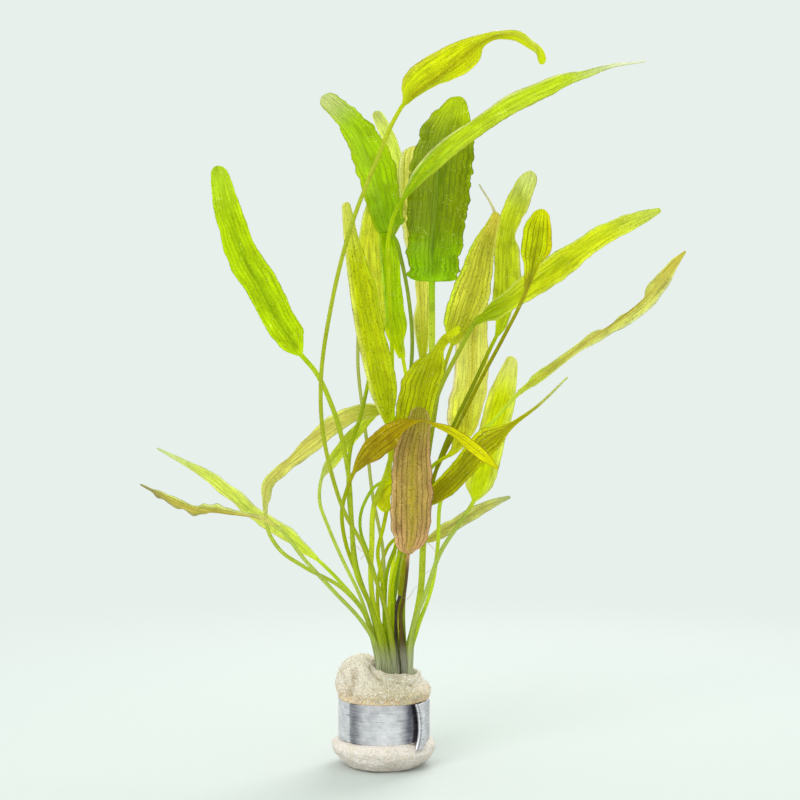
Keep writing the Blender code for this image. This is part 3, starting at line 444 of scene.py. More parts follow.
# %% Smooth lines and tables
def place(point):
    """Where a point of the drawing lies, in mm: on the eye's line of sight, at its own depth."""
    across, depth, up = point
    return EYE + (Vector((across, 0.0, up)) - EYE) * ((depth - EYE.y) / -EYE.y)


def smooth_line(points, steps=24):
    """A smooth curve through all the points, as many short chords."""
    gaps = [(b - a).length for a, b in zip(points, points[1:])]
    slopes = [(points[1] - points[0]) / gaps[0]]
    for i in range(1, len(points) - 1):
        before = (points[i] - points[i - 1]) / gaps[i - 1]
        after = (points[i + 1] - points[i]) / gaps[i]
        slopes.append((before * gaps[i] + after * gaps[i - 1]) / (gaps[i] + gaps[i - 1]))
    slopes.append((points[-1] - points[-2]) / gaps[-1])
    line = []
    for i, gap in enumerate(gaps):
        for k in range(steps):
            t = k / steps
            line.append(
                points[i] * (2 * t**3 - 3 * t**2 + 1)
                + slopes[i] * gap * (t**3 - 2 * t**2 + t)
                + points[i + 1] * (3 * t**2 - 2 * t**3)
                + slopes[i + 1] * gap * (t**3 - t**2)
            )
    line.append(points[-1].copy())
    return line


def stations(line, shares):
    """Points at these shares of the line's length, each with its distance along it and the line's direction."""
    along = [0.0]
    for a, b in zip(line, line[1:]):
        along.append(along[-1] + (b - a).length)
    found, k = [], 0
    for share in shares:
        want = along[-1] * share
        while k < len(along) - 2 and along[k + 1] < want:
            k += 1
        part = (want - along[k]) / (along[k + 1] - along[k])
        low, high = max(k - 3, 0), min(k + 4, len(line) - 1)
        found.append((line[k].lerp(line[k + 1], part), want, (line[high] - line[low]).normalized()))
    return found


def even(count):
    """Evenly spread shares from 0 to 1."""
    return [i / (count - 1) for i in range(count)]


def sideways(direction):
    """Two directions square to a line: across it, as the eye sees it, and towards the eye."""
    across = direction.cross(Vector((0.0, -1.0, 0.0))).normalized()
    return across, across.cross(direction)


def round_section(direction, angle):
    """The direction from the centre of a round section to its point at this angle."""
    across, face = sideways(direction)
    return across * math.cos(angle) + face * math.sin(angle)


def ease(t):
    """0 to 1 with a level start and end."""
    t = min(max(t, 0.0), 1.0)
    return t * t * (3.0 - 2.0 * t)


def read_table(rows, column, t):
    """One column of a table at t, on a curve that never leaves the span between its two neighbours."""
    i = 0
    while i < len(rows) - 2 and rows[i + 1][0] < t:
        i += 1
    steps = [(b[column] - a[column]) / (b[0] - a[0]) for a, b in zip(rows, rows[1:])]

    def slope(j):
        before, after = steps[max(j - 1, 0)], steps[min(j, len(steps) - 1)]
        return 2 * before * after / (before + after) if before * after > 0 else 0.0

    width = rows[i + 1][0] - rows[i][0]
    s = min(max((t - rows[i][0]) / width, 0.0), 1.0)
    return (
        rows[i][column] * (2 * s**3 - 3 * s**2 + 1)
        + slope(i) * width * (s**3 - 2 * s**2 + s)
        + rows[i + 1][column] * (3 * s**2 - 2 * s**3)
        + slope(i + 1) * width * (s**3 - s**2)
    )


# %% [markdown]
# ## Tubes rolled from a grid
# Leaves, the dead stalk and the finest threads are all closed tubes of some kind. A flat grid is rolled up into
# them: its columns run round the section and its rows along the tube. Several tubes can share a grid, which is
# then cut between them.

# %% Rolled tubes
def rolled_tubes(name, sides, counts, put, layers=()):
    """A mesh of closed tubes with these numbers of rows. put(tube, row, turn) gives a point in mm and the values of
    its layers."""
    bm = bmesh.new()
    bmesh.ops.create_grid(bm, x_segments=sides, y_segments=sum(counts) - 1, size=1.0)
    keep = [bm.verts.layers.float.new(layer) for layer in layers]
    owner = [(tube, row) for tube, count in enumerate(counts) for row in range(count)]
    tube_of = {}
    for vert in bm.verts:
        turn = round((vert.co.x + 1.0) / 2.0 * sides) % sides
        tube, row = owner[round((vert.co.y + 1.0) / 2.0 * (len(owner) - 1))]
        point, values = put(tube, row, turn)
        vert.co = point * MM
        for layer, value in zip(keep, values):
            vert[layer] = value
        tube_of[vert] = tube
    joins = [face for face in bm.faces if len({tube_of[vert] for vert in face.verts}) > 1]
    bmesh.ops.delete(bm, geom=joins, context="FACES")
    bmesh.ops.remove_doubles(bm, verts=bm.verts, dist=1e-7)
    bmesh.ops.holes_fill(bm, edges=bm.edges, sides=sides)
    bmesh.ops.recalc_face_normals(bm, faces=bm.faces)
    return as_mesh(bm, name)


def count_triangles(mesh):
    return sum(len(face.vertices) - 2 for face in mesh.polygons)


# %% [markdown]
# ## The leaf's skin
# A real leaf of this kind is a round stalk that runs on through the blade as a midrib and gets thinner towards
# the tip. The section starts as a circle and spreads into a thin sheet with a rib in its middle, and the
# sheet's edges are then ruffled, nicked and cupped. Where one half of a blade looks much narrower than the
# other it is folded back along the midrib, so that half is turned away from the eye here too.

# %% The sections along a leaf
COLUMNS = 40
STALK_SPACING = 1.6
BLADE_ROWS = 130
CROWDING = 0.85  # how much closer the rows stand at a blade's ends
EDGE_CROWDING = 0.62  # and the columns at an open blade's edges
SHEET_HALF_THICK = 0.18
LEAST_HALF = 0.12
RIDGE_FRONT, RIDGE_BACK = 0.75, 0.3  # how far the midrib stands out, as a share of its radius
RIB_AT_TIP = 0.2
NARROWING = 22.0  # a stalk's foot is round for this many mm and then takes as many to get to its own radius
EDGE_ON = 0.4  # the least share of its width that a turned blade is taken to show
MOST_FOLD = 60.0
NICK_LONG, NICK_SHORT = 3.5, 1.2
SWAY, SWAY_LENGTH = 0.6, 22.0
LEAF_LAYERS = ("across", "share", "along")


def leaf_sections(leaf):
    """The leaf's sections from foot to tip: centre, direction, distance along it and share of the blade, which is
    below 0 on the stalk."""
    column, row = leaf.foot
    foot = Vector((FIRST_COLUMN_X + column * ROW_PITCH, FIRST_ROW_Y + row * ROW_PITCH, STALK_END))
    lip = Vector((LIP_RIGHT - (LAST_COLUMN_X - foot.x) * LIP_SQUEEZE, foot.y, LIP))
    blade = [place(p) for p in leaf.blade]
    line = smooth_line([foot, lip] + [place(p) for p in leaf.stalk] + blade)
    join = next(i for i, p in enumerate(line) if (p - blade[0]).length < 1e-6)
    stalk_length = sum((b - a).length for a, b in zip(line[:join], line[1 : join + 1]))
    count = round(stalk_length / STALK_SPACING)
    stalk_rows = stations(line[: join + 1], [i / count for i in range(count)])
    rows = [(c, d, s, s / stalk_length - 1.0) for c, s, d in stalk_rows]
    shares = [t - CROWDING * math.sin(math.tau * t) / math.tau for t in even(BLADE_ROWS + 1)]
    blade_rows = stations(line[join:], shares)
    length = blade_rows[-1][1]
    rows += [(c, d, stalk_length + s, s / length) for c, s, d in blade_rows]
    return rows, length


# %% [markdown]
# The photograph shows only how wide a blade looks. A blade that is turned or folded is wider than it looks, so
# each half's real width comes from what the eye sees and from how far that half is turned.

# %% The halves of a blade
def half_widths(leaf, t, length, roll, depth_scale):
    """For the left and the right half: its real width in mm, and how far it is turned about the midrib."""
    seen = [read_table(leaf.shape, column, t) * depth_scale for column in (1, 2)]
    if math.cos(roll) < 0:
        seen.reverse()
    from_tip = (1.0 - t) * length
    if from_tip < leaf.tip:
        round_off = math.sqrt(max(from_tip * (2 * leaf.tip - from_tip), 0.0)) / leaf.tip
        seen = [half * round_off for half in seen]
    halves = []
    for side, half in zip((-1.0, 1.0), seen):
        fold = math.radians(MOST_FOLD) * ease((0.95 - half / max(seen)) / 0.7) if max(seen) > 1.0 else 0.0
        turned = roll - side * fold
        halves.append((max(half, LEAST_HALF) / max(abs(math.cos(turned)), EDGE_ON), turned))
    return halves


# %% [markdown]
# The skin is one rolled tube. Its section changes from the round stalk to the open sheet as the blade widens, and
# smooth noise along each edge ruffles and nicks it, with a seed of its own for every leaf.

# %% The skin
def leaf_skin(leaf, seed):
    """The leaf's closed skin, with how far across, how far along and which share of the blade kept at each point."""
    rows, length = leaf_sections(leaf)
    sections = []
    for centre, direction, along, share in rows:
        t = max(share, 0.0)
        roll = math.radians(read_table(leaf.roll, 1, t)) * ease(1.0 + share / 0.3)
        halves = half_widths(leaf, t, length, roll, (centre.y - EYE.y) / -EYE.y)
        radius = FOOT_RADIUS_OF_STALK + (leaf.stem - FOOT_RADIUS_OF_STALK) * ease((along - NARROWING) / NARROWING)
        rib = min(radius * (1.0 - (1.0 - RIB_AT_TIP) * t), max(halves)[0] * 0.9)
        opened = ease((max(halves)[0] / rib - 1.1) / 2.2) if share > 0 else 0.0
        sections.append((centre, direction, along, share, t, roll, halves, radius, rib, opened))

    def put(tube, row, turn):
        centre, direction, along, share, t, roll, halves, radius, rib, opened = sections[row]
        angle = math.tau * turn / COLUMNS
        q, lift = math.cos(angle), math.sin(angle)
        spread = 1.0 - EDGE_CROWDING * opened
        c = q * spread + q**3 * (1.0 - spread)
        edge = 1 if c > 0 else 0
        half, turned = halves[edge] if share > 0 else (radius, roll)
        half = max(half, radius * (1.0 - 12.0 * t))
        wobble = noise.noise(Vector((along / NICK_LONG, edge * 9.0, seed)))
        wobble += 0.6 * noise.noise(Vector((along / NICK_SHORT, edge * 9.0, seed + 20.0)))
        half *= 1.0 + leaf.nick * wobble * opened * 2.0
        x = half * c
        round_part = radius * abs(lift) if share <= 0 else rib * abs(lift)
        ridge = math.sqrt(max(0.0, 1.0 - (x / rib) ** 2)) * rib * (RIDGE_BACK if lift < 0 else RIDGE_FRONT)
        sheet = SHEET_HALF_THICK * math.sqrt(max(0.0, 1.0 - c * c) + 1e-6)
        thick = round_part * (1.0 - opened) + max(sheet, ridge) * opened
        away = c * c * opened * min(half / 3.0, 1.0)
        ripple = leaf.ruffle * away * noise.noise(Vector((along / leaf.wave, edge * 5.0, seed + 40.0))) * 1.8
        gentle = SWAY * opened * noise.noise(Vector((along / SWAY_LENGTH, 0.0, seed + 80.0)))
        up = ripple + gentle - leaf.cup * half * away * (1 - 0.5 * t)
        tilt = roll + (turned - roll) * ease(abs(c) / 0.3)
        across, face = sideways(direction)
        rolled = across * math.cos(tilt) + face * math.sin(tilt)
        normal = face * math.cos(tilt) - across * math.sin(tilt)
        point = centre + rolled * x + normal * (math.copysign(thick, lift) + up)
        return point, (c, share, along * MM)

    return rolled_tubes(leaf.name + "_skin", COLUMNS, [len(rows)], put, LEAF_LAYERS)


# %% [markdown]
# ## Leaf tissue
# The blades are thin and wet, so light comes through them: part of the light is scattered back from the front
# and part passes through. The veins are darker lines that run side by side from base to tip with a fine net
# between them, and everything else in the leaf is drawn out along them too: pale and dark streaks, painted shade
# down the stalk's sides, a dusty dark stripe of small grains beside the midrib, a thin dark rim. Only the painted
# glints on wet specks are round. One function makes the tissue from the leaf's own tones: stalk, base, middle, tip,
# midrib, veins. Light that passes a leaf crosses both walls of its skin, so each wall takes only half of the
# colour's depth, which is the colour's square root. A wet cuticle reflects little, so its IOR is 1.4, it is smooth
# at 0.35 and its highlights are kept weak.

# %% The leaf material
SHEATH_LOW, SHEATH_TOP = 0.036, 0.0465  # the stalks are pale down there, where they grew in the dark
THROUGH = 0.62  # the share of light that a wall lets through
VEIN_SPACING = 2.0  # mm, as on the real leaf
PATCHES = [  # how many fit in a metre, and their detail
    (60.0, 3.0),  # blotches on the stalk, 17 mm wide
    (160.0, 3.0),  # clouds in the blade, 6 mm
    (240.0, 3.0),  # clumps of painted glints on wet specks, 4 mm
    (500.0, 2.0),  # gaps in the veins, 2 mm
    (900.0, 4.0),  # the veins' waver, 1 mm
    (1500.0, 2.0),  # brown flecks, 0.7 mm
    (2300.0, 2.0),  # grain, 0.4 mm: real cells are ten times finer and would not show
]
STREAK, MESH = (0.75, 9.0), (0.9, 1.8)  # how wide across the leaf and how long along it these are, in mm
SPECKS = [(420.0, 0.13), (950.0, 0.26)]  # painted glints on wet specks 2.4 mm and 1 mm apart, and how far one reaches


def leaf_tissue(leaf):
    """Thin wet leaf tissue in the leaf's own colours."""
    made, tree = new_material("tissue_" + leaf.name)
    stalk, base, middle, tip, midrib, veins = [colour(tone) for tone in leaf.tones]
    across, share, along = [add(tree, "Attribute", {}, "Fac", attribute_name=name) for name in LEAF_LAYERS]
    where = add(tree, "TexCoord", {}, "Object")
    height = add(tree, "SeparateXYZ", {0: where}, "Z")
    out = add(tree, "Math", {0: across}, operation="ABSOLUTE")
    on_blade = strength(tree, (share, 0.0, 0.06))
    blotch, cloud, clump, gap, fine, fleck, grain = [
        add(tree, "TexNoise", {"Vector": where, "Scale": per_metre, "Detail": detail}, "Fac")
        for per_metre, detail in PATCHES
    ]
    drawn_out = []
    for wide, long in (STREAK, MESH):
        x = add(tree, "Math", {0: across, 1: leaf.wide / wide}, operation="MULTIPLY")
        y = add(tree, "Math", {0: along, 1: 1000.0 / long}, operation="MULTIPLY")
        drawn_out.append(add(tree, "CombineXYZ", {"X": x, "Y": y}))
    streaks = add(tree, "TexNoise", {"Vector": drawn_out[0], "Scale": 1.0, "Detail": 4.0}, "Fac")
    cells = add(tree, "TexVoronoi", {"Vector": drawn_out[1], "Scale": 1.0}, feature="DISTANCE_TO_EDGE")

    # along the leaf, and painted shade down the stalk's two sides
    deep = add(tree, "Gamma", {"Color": stalk, "Gamma": 2.1})
    stalk = lay_over(tree, stalk, deep, (out, 0.55, 0.98, 0.6), (blotch, 0.35, 0.6))
    tone = lay_over(tree, stalk, base, (share, -0.12, 0.04))
    tone = lay_over(tree, tone, middle, (share, 0.05, 0.35))
    tone = lay_over(tree, tone, tip, (share, leaf.tip_from, min(leaf.tip_from + 0.28, 0.98)))
    tone = lay_over(tree, tone, veins, (cloud, 0.5, 0.75, 0.35))

    # margins: a paler border, then the thin dark rim
    for side, edge in zip((-1.0, 1.0), leaf.edges):
        tone = lay_over(tree, tone, colour(edge), (across, side * leaf.edge_from, side, 0.85), on_blade)
    tone = lay_over(tree, tone, veins, (out, 0.93, 0.99, 0.25), on_blade)

    # side-by-side veins, the net between them, the midrib and the dusty stripe beside it
    lane = add(tree, "Math", {0: fine, 1: 0.05, 2: -0.025}, operation="MULTIPLY_ADD")
    lane = add(tree, "Math", {0: out, 1: lane}, operation="ADD")
    lane = add(tree, "Math", {0: lane, 1: max(2.0, round(leaf.wide / VEIN_SPACING))}, operation="MULTIPLY")
    lane = add(tree, "Math", {0: lane, 1: 0.5}, operation="PINGPONG")
    vein = strength(tree, (lane, 0.13, 0.0), on_blade, (gap, 0.25, 0.4, leaf.vein))
    net = strength(tree, (cells, 0.12, 0.0, leaf.vein * 0.25), on_blade)
    lines = add(tree, "Math", {0: vein, 1: net}, operation="MAXIMUM")
    tone = lay_over(tree, tone, veins, lines)
    dust = strength(tree, (out, 0.5, 0.05), (grain, 0.42, 0.62, leaf.rib + 0.25))
    band = strength(tree, (out, 0.16, 0.02), (fine, 0.3, 0.6, leaf.rib + 0.1))
    dust = add(tree, "Math", {0: dust, 1: band}, operation="MAXIMUM")
    tone = lay_over(tree, tone, midrib, dust, (share, 1.02, 0.6), on_blade)

    # how much light the tissue takes, from streak to streak and from grain to grain
    value = add(tree, "Math", {0: grain, 1: 0.6, 2: 0.02}, operation="MULTIPLY_ADD")
    value = add(tree, "Math", {0: streaks, 1: 1.4, 2: value}, operation="MULTIPLY_ADD")
    tone = add(tree, "HueSaturation", {"Color": tone, "Value": value})

    # brown spots, and painted glints on wet specks, more of them near the margins
    tone = lay_over(tree, tone, colour("#585008"), (fleck, 0.6, 0.7, leaf.spots * 0.9))
    clump = add(tree, "Math", {0: out, 1: 0.1, 2: clump}, operation="MULTIPLY_ADD")
    for per_metre, reach in SPECKS:
        speck = add(tree, "TexVoronoi", {"Vector": where, "Scale": per_metre}, "Distance")
        tone = lay_over(tree, tone, colour("#FFFFA8"), (speck, reach, reach * 0.4, 0.75), (clump, 0.55, 0.68))

    # pale sheath at the foot; its near-white and dark streaks are partly painted highlights and painted shade between
    # the stalks
    sheath = lay_over(tree, colour("#84886A"), colour("#F8F8E8"), (streaks, 0.4, 0.6))
    tone = lay_over(tree, tone, sheath, (height, SHEATH_TOP, SHEATH_LOW, 0.75))

    relief = add(tree, "Math", {0: cloud, 1: streaks}, operation="ADD")
    relief = add(tree, "Math", {0: lines, 1: 0.8, 2: relief}, operation="MULTIPLY_ADD")
    bump = add(tree, "Bump", {"Strength": 0.4, "Distance": 0.0003, "Height": relief})
    skin = add(tree, "BsdfPrincipled", {"Base Color": tone, "Roughness": 0.35, "IOR": 1.4,
                                        "Specular IOR Level": 0.25, "Normal": bump})  # fmt: skip
    lit = add(tree, "Gamma", {"Color": tone, "Gamma": 0.5})
    through = add(tree, "BsdfTranslucent", {"Color": lit, "Normal": bump})
    add(tree, "OutputMaterial", {"Surface": add(tree, "MixShader", {0: THROUGH, 1: skin, 2: through})})
    return made


# %% [markdown]
# ## All the leaves and their hair roots
# Each finished piece takes the place of its plain solid. A few brown root hairs cling to the stalks below the
# front brown leaf. They are far too thin to be solids, so they are small tubes in that leaf's own mesh.


def show(mesh, material, replaced):
    """Puts a finished piece in the scene, in place of its solid."""
    mesh.materials.clear()
    mesh.materials.append(material)
    piece = bpy.data.objects.new(mesh.name, mesh)
    bpy.context.scene.collection.objects.link(piece)
    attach(piece, "root")
    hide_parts(replaced)
    return piece


def join_into(mesh, other):
    """Adds another mesh to a mesh, as loose parts of the same piece."""
    bm = bmesh.new()
    bm.from_mesh(mesh)
    bm.from_mesh(other)
    bm.to_mesh(mesh)
    bm.free()
    mesh.shade_smooth()


HAIR_RADIUS = 0.09
HAIR_SIDES = 5
HAIR_ROWS = 10
HAIRS = [  # as the eye sees them, in mm
    [(15.8, -20, 79.6), (17.4, -20.5, 78), (18.4, -21, 76.6), (20, -21, 75.4)],
    [(8.3, -10.8, 59.2), (10, -10, 61.4), (10.9, -9, 63), (12.2, -8, 64.2)],
    [(14.2, 0.6, 67.8), (15.4, 0.2, 68.9), (16.8, 0, 70)],
    [(-9.8, -15, 78.4), (-7.6, -15.5, 76.4), (-6, -15, 76.8), (-4.2, -13, 77.6)],
    [(-8.4, -14, 73.6), (-6.4, -14.4, 75.6), (-4.6, -13, 73.6)],
    [(8, -17.4, 73), (6.6, -17, 74.8), (5.2, -16, 75), (4.4, -15, 76.6)],
    [(-12.8, -9, 81.6), (-10.8, -10, 80.6), (-9, -12, 81.8)],
]
hair_rows = [stations(smooth_line([place(p) for p in points]), even(HAIR_ROWS)) for points in HAIRS]


def hair_point(tube, row, turn):
    centre, _, direction = hair_rows[tube][row]
    radius = HAIR_RADIUS * (1.1 - 0.7 * row / HAIR_ROWS)
    return centre + round_section(direction, math.tau * turn / HAIR_SIDES) * radius, ()


hairs = rolled_tubes("root_hairs", HAIR_SIDES, [HAIR_ROWS] * len(HAIRS), hair_point)

total = 0
for number, leaf in enumerate(LEAVES):
    skin = leaf_skin(leaf, seed=number * 3.7)
    if leaf.name == "leaf_front_brown":
        join_into(skin, hairs)
    show(skin, leaf_tissue(leaf), leaf.name)
    total += count_triangles(skin)
print("leaf triangles:", total)


# %% [markdown]
# ## Foam plug
# The plug is a strip of cream open-cell foam rolled round the stalks. The metal strip pinches it in the middle,
# so it bulges above and below and rests on the metal's edges. It is turned here from its outline. Its mouth is
# then drawn in round the stalks, its back is raised on the left and its folds and cells are pressed in along its
# own normals. How deep each point lies is kept, and the material paints shade there. Torn foam ends in fine fuzz,
# which stands out of the skin as short threads.
#
# The material is cut open-cell polyurethane foam. Its broken cells scatter light every way, so it is rough and
# has almost no highlight, and its tone changes from cell to cell. Real cells are 0.4 to 0.6 mm wide.

# %% The foam's material
foam_material, tree = new_material("open_cell_foam")
where = add(tree, "TexCoord", {}, "Object")
height = add(tree, "SeparateXYZ", {0: where}, "Z")
hollow = add(tree, "Attribute", {}, "Fac", attribute_name="hollow")
cloud, grain, dots = [  # 7 mm, 0.8 mm and 0.4 mm wide
    add(tree, "TexNoise", {"Vector": where, "Scale": per_metre, "Detail": detail}, "Fac")
    for per_metre, detail in ((140.0, 3.0), (1300.0, 4.0), (2400.0, 1.0))
]
cells = add(tree, "TexVoronoi", {"Vector": where, "Scale": 1700.0}, "Distance")  # 0.6 mm wide
# an olive-brown patch on the front of the upper bulge, darkest at one point right of the middle
olive_patch_distance = add(tree, "VectorMath", {0: where, 1: (0.005, -0.015, 0.030)}, "Value", operation="DISTANCE")
# what each colour follows, where it starts and is full (heights and distances in metres), how strong it is, and
# the colour
FOAM_LAYERS = [
    (height, 0.0305, 0.0255, 0.45, "#D2AA7C"),
    (height, 0.018, 0.012, 1.0, "#E8DFD8"),
    (olive_patch_distance, 0.015, 0.004, 0.55, "#ACA67C"),
    (cloud, 0.45, 0.7, 0.5, "#CDBFA2"),
    # painted shade in the folds and the pressed-in cells
    (hollow, 0.1, 1.0, 0.8, "#A08C68"),
    (grain, 0.52, 0.66, 0.6, "#B89C70"),
    (cells, 0.5, 0.8, 0.6, "#FBF7EE"),
    (dots, 0.6, 0.7, 0.6, "#8C7650"),
    (height, 0.018, 0.012, 0.5, "#F0E6E0"),
]
tone = colour("#E6DCCC")
for *rise, code in FOAM_LAYERS:
    tone = lay_over(tree, tone, colour(code), tuple(rise), interpolation="LINEAR")
# a grain here and there is peach or yellow, about a millimetre wide, most of them just above the metal
near = {"Value": height, "From Min": 0.031, "From Max": 0.025, "To Min": 0.14, "To Max": 0.42}
upper = {"Value": height, "From Min": 0.012, "From Max": 0.02, "To Min": 0.6, "To Max": 1.0}
reach = strength(tree, add(tree, "MapRange", near), add(tree, "MapRange", upper))
for per_metre, code in ((1150.0, "#E8AC78"), (980.0, "#F0D888")):
    grains = add(tree, "TexVoronoi", {"Vector": where, "Scale": per_metre}, "Distance")
    inside = add(tree, "Math", {0: reach, 1: grains}, operation="SUBTRACT")
    tone = lay_over(tree, tone, colour(code), (inside, 0.0, 0.15, 0.7), interpolation="LINEAR")
relief = add(tree, "Math", {0: cells, 1: 0.6, 2: grain}, operation="MULTIPLY_ADD")
bump = add(tree, "Bump", {"Strength": 0.9, "Distance": 0.0005, "Height": relief})
skin = add(tree, "BsdfPrincipled", {"Base Color": tone, "Roughness": 0.95, "Specular IOR Level": 0.2, "Normal": bump})
add(tree, "OutputMaterial", {"Surface": skin})
print("colours in the foam:", len(FOAM_LAYERS) + 3)

# %% [markdown]
# The outline runs from the pocket round the stalks, over the mouth and the upper bulge, down the neck under the
# metal, round the lower bulge and in along the flat foot.

# %% The foam's outline
LOWER_BULGE = 18.5
UPPER_BULGE = 16.9
NECK_RADIUS = 13.9
PLUG_HEIGHT = 34.6
POCKET_FLOOR = 22.0
STRIP_BOTTOM = 9.8
STRIP_HEIGHT = 14.2
STRIP_TOP = STRIP_BOTTOM + STRIP_HEIGHT
PLUG_STEPS = 330
CELL = 0.9  # the pressed-in cells are wider than real ones, which this mesh would be too coarse for
MOUTH_X = 3.9  # the stalks' middle, off the plug's axis
MOUTH_EDGE = 14.0
TOP_SLOPE = Vector((-0.15, 0.12, 0.0))
RAISED_AT = (-11.0, 6.0)
RAISED_BY = 2.2
PRESSED_TURN = -40.0  # where the strip's loose end presses into the lower bulge, in degrees, and how deep
PRESSED_BY = 1.8

PROFILE = [
    (0.0, POCKET_FLOOR),
    (4.2, POCKET_FLOOR),
    (5.0, PLUG_HEIGHT - 2.6),
    (6.8, PLUG_HEIGHT - 0.1),
    (10.5, PLUG_HEIGHT - 0.2),
    (14.2, PLUG_HEIGHT - 2.2),
    (16.9, PLUG_HEIGHT - 5.2),
    (UPPER_BULGE, STRIP_TOP + 3.2),
    (UPPER_BULGE - 0.3, STRIP_TOP + 1.4),
    (16.3, STRIP_TOP + 0.2),
    (15.0, STRIP_TOP - 0.4),
    (NECK_RADIUS, STRIP_TOP - 1.5),
    (NECK_RADIUS, STRIP_BOTTOM + 1.5),
    (15.2, STRIP_BOTTOM + 0.3),
    (17.3, STRIP_BOTTOM - 0.6),
    (LOWER_BULGE, STRIP_BOTTOM - 2.4),
    (LOWER_BULGE - 0.5, STRIP_BOTTOM - 4.6),
    (16.4, 3.0),
    (14.4, 1.2),
    (12.8, 0.2),
    (12.0, 0.0),
    (0.0, 0.0),
]

# %% [markdown]
# A fold is a groove along a few points on the front, deepest in its middle. Where it lies is given as the eye
# sees it, so each point of the skin is first looked at from the eye.

# %% The foam's folds
# points (right, up) in mm, how deep and how wide
FOLDS = [
    ([(-10.4, 33.6), (-11.2, 30.2), (-12.2, 27.4), (-12.8, 24.5)], 1.5, 1.5),
    ([(-4.7, 34.8), (-2.9, 32.4), (-1.1, 30.6)], 1.2, 0.55),
    ([(3.4, 29.6), (6.8, 29.2), (10.4, 28.2)], 0.9, 0.5),
    ([(-15.6, 33.0), (-14.4, 31.0), (-14.2, 28.4)], 0.8, 1.0),
]


def seen(point):
    """How far right and up the eye sees a point, on the plane through the plug's axis."""
    scale = -EYE.y / (point.y - EYE.y)
    return Vector((EYE.x + (point.x - EYE.x) * scale, EYE.z + (point.z - EYE.z) * scale))


def pressed_in(point):
    """How deep the folds are at a point, in mm."""
    depth = 0.0
    spot = seen(point)
    for path, deep, wide in FOLDS:
        nearest = 1e9
        for a, b in zip(path, path[1:]):
            a, b = Vector(a), Vector(b)
            part = min(max((spot - a).dot(b - a) / (b - a).length_squared, 0.0), 1.0)
            nearest = min(nearest, (spot - a.lerp(b, part)).length)
        depth += deep * math.exp(-((nearest / wide) ** 2))
    return depth


# %% [markdown]
# The turned shape is round, and the real plug isn't: stalks and fingers have pushed it about. So its points are
# moved first, and the cells are pressed in after that, along the normals of the form that they really lie on.

# %% The foam's body
def plug_form(point):
    """Where a point of the turned outline lies on the plug's own form, in mm."""
    out = Vector((point.x, point.y, 0.0))
    if point.z > STRIP_BOTTOM:
        near = ease((MOUTH_EDGE - out.length) / 8.0)
        point = Vector((point.x * (1 + 0.2 * near) + MOUTH_X * near, point.y * (1 - 0.2 * near), point.z))
    if point.z > STRIP_TOP:
        share = ease((point.z - STRIP_TOP) / 8.0)
        rim = RAISED_BY * math.exp(-((point.x - RAISED_AT[0]) ** 2 + (point.y - RAISED_AT[1]) ** 2) / 90.0)
        point.z += (TOP_SLOPE.dot(point) + rim + noise.noise(point / 5.0) * 0.6) * share
    if 0.0 < point.z < STRIP_BOTTOM:
        turned = math.degrees(math.atan2(point.y, point.x))
        pressed = PRESSED_BY * ease(1.0 - abs(turned - PRESSED_TURN) / 24.0) * ease((point.z - 5.5) / 2.0)
        point -= out.normalized() * pressed
    return point


outline = smooth_line([Vector((r, 0.0, z)) for r, z in PROFILE], steps=9)
bm = bmesh.new()
verts = [bm.verts.new(point * MM) for point in outline]
edges = [bm.edges.new((a, b)) for a, b in zip(verts, verts[1:])]
bmesh.ops.spin(
    bm, geom=bm.verts[:] + bm.edges[:], axis=(0, 0, 1), cent=(0, 0, 0), steps=PLUG_STEPS, angle=math.tau,
    use_merge=True,
)  # fmt: skip
bmesh.ops.remove_doubles(bm, verts=bm.verts, dist=1e-6)
bmesh.ops.recalc_face_normals(bm, faces=bm.faces)
keep_hollow = bm.verts.layers.float.new("hollow")
free = {}
for vert in bm.verts:
    z = vert.co.z / MM
    free[vert] = ease((z - STRIP_TOP - 0.2) / 2.0) + ease((STRIP_BOTTOM - 0.4 - z) / 1.5) * ease(z / 1.5)
    vert.co = plug_form(vert.co / MM) * MM
bm.normal_update()
for vert in bm.verts:
    point = vert.co / MM
    fold = pressed_in(point) if point.z > STRIP_TOP and point.y < 0.0 else 0.0
    pit = max(0.0, 0.5 - noise.voronoi(point / CELL)[0][0])
    lumps = noise.noise(point / 7.0) * 0.7 + noise.noise(point / 2.2) * 0.4 + noise.noise(point / 0.8) * 0.15
    vert[keep_hollow] = min((fold / 2.0 + pit * 0.7) * free[vert], 1.0)
    vert.co += vert.normal * (lumps - fold - 0.6 * pit) * free[vert] * MM
    vert.co.z = max(vert.co.z, 0.0)
foam_mesh = as_mesh(bm, "foam_body")
print("foam triangles:", count_triangles(foam_mesh))

# %% [markdown]
# Each thread of the fuzz starts just inside the skin and bends as it leaves it. The starts are picked at random
# from the skin's own points, so that they lie on its real bumps.

# %% The foam's fuzz
FUZZ = 1500
FUZZ_ROWS = 4
FUZZ_SIDES = 3
FUZZ_RADIUS = 0.035
draw = random.Random(7)
loose_points = [
    vert for vert in foam_mesh.vertices
    if (vert.co.z / MM > STRIP_TOP + 1.5 or 1.0 < vert.co.z / MM < STRIP_BOTTOM - 1.0)
    and Vector((vert.co.x, vert.co.y)).length / MM > 9.0
]  # fmt: skip
threads = []
for _ in range(FUZZ):
    start = draw.choice(loose_points)
    away = (start.normal + Vector([draw.uniform(-0.7, 0.7) for _ in range(3)])).normalized()
    bend = Vector([draw.uniform(-1, 1) for _ in range(3)])
    threads.append((start.co / MM, away, bend, draw.uniform(0.5, 1.4)))


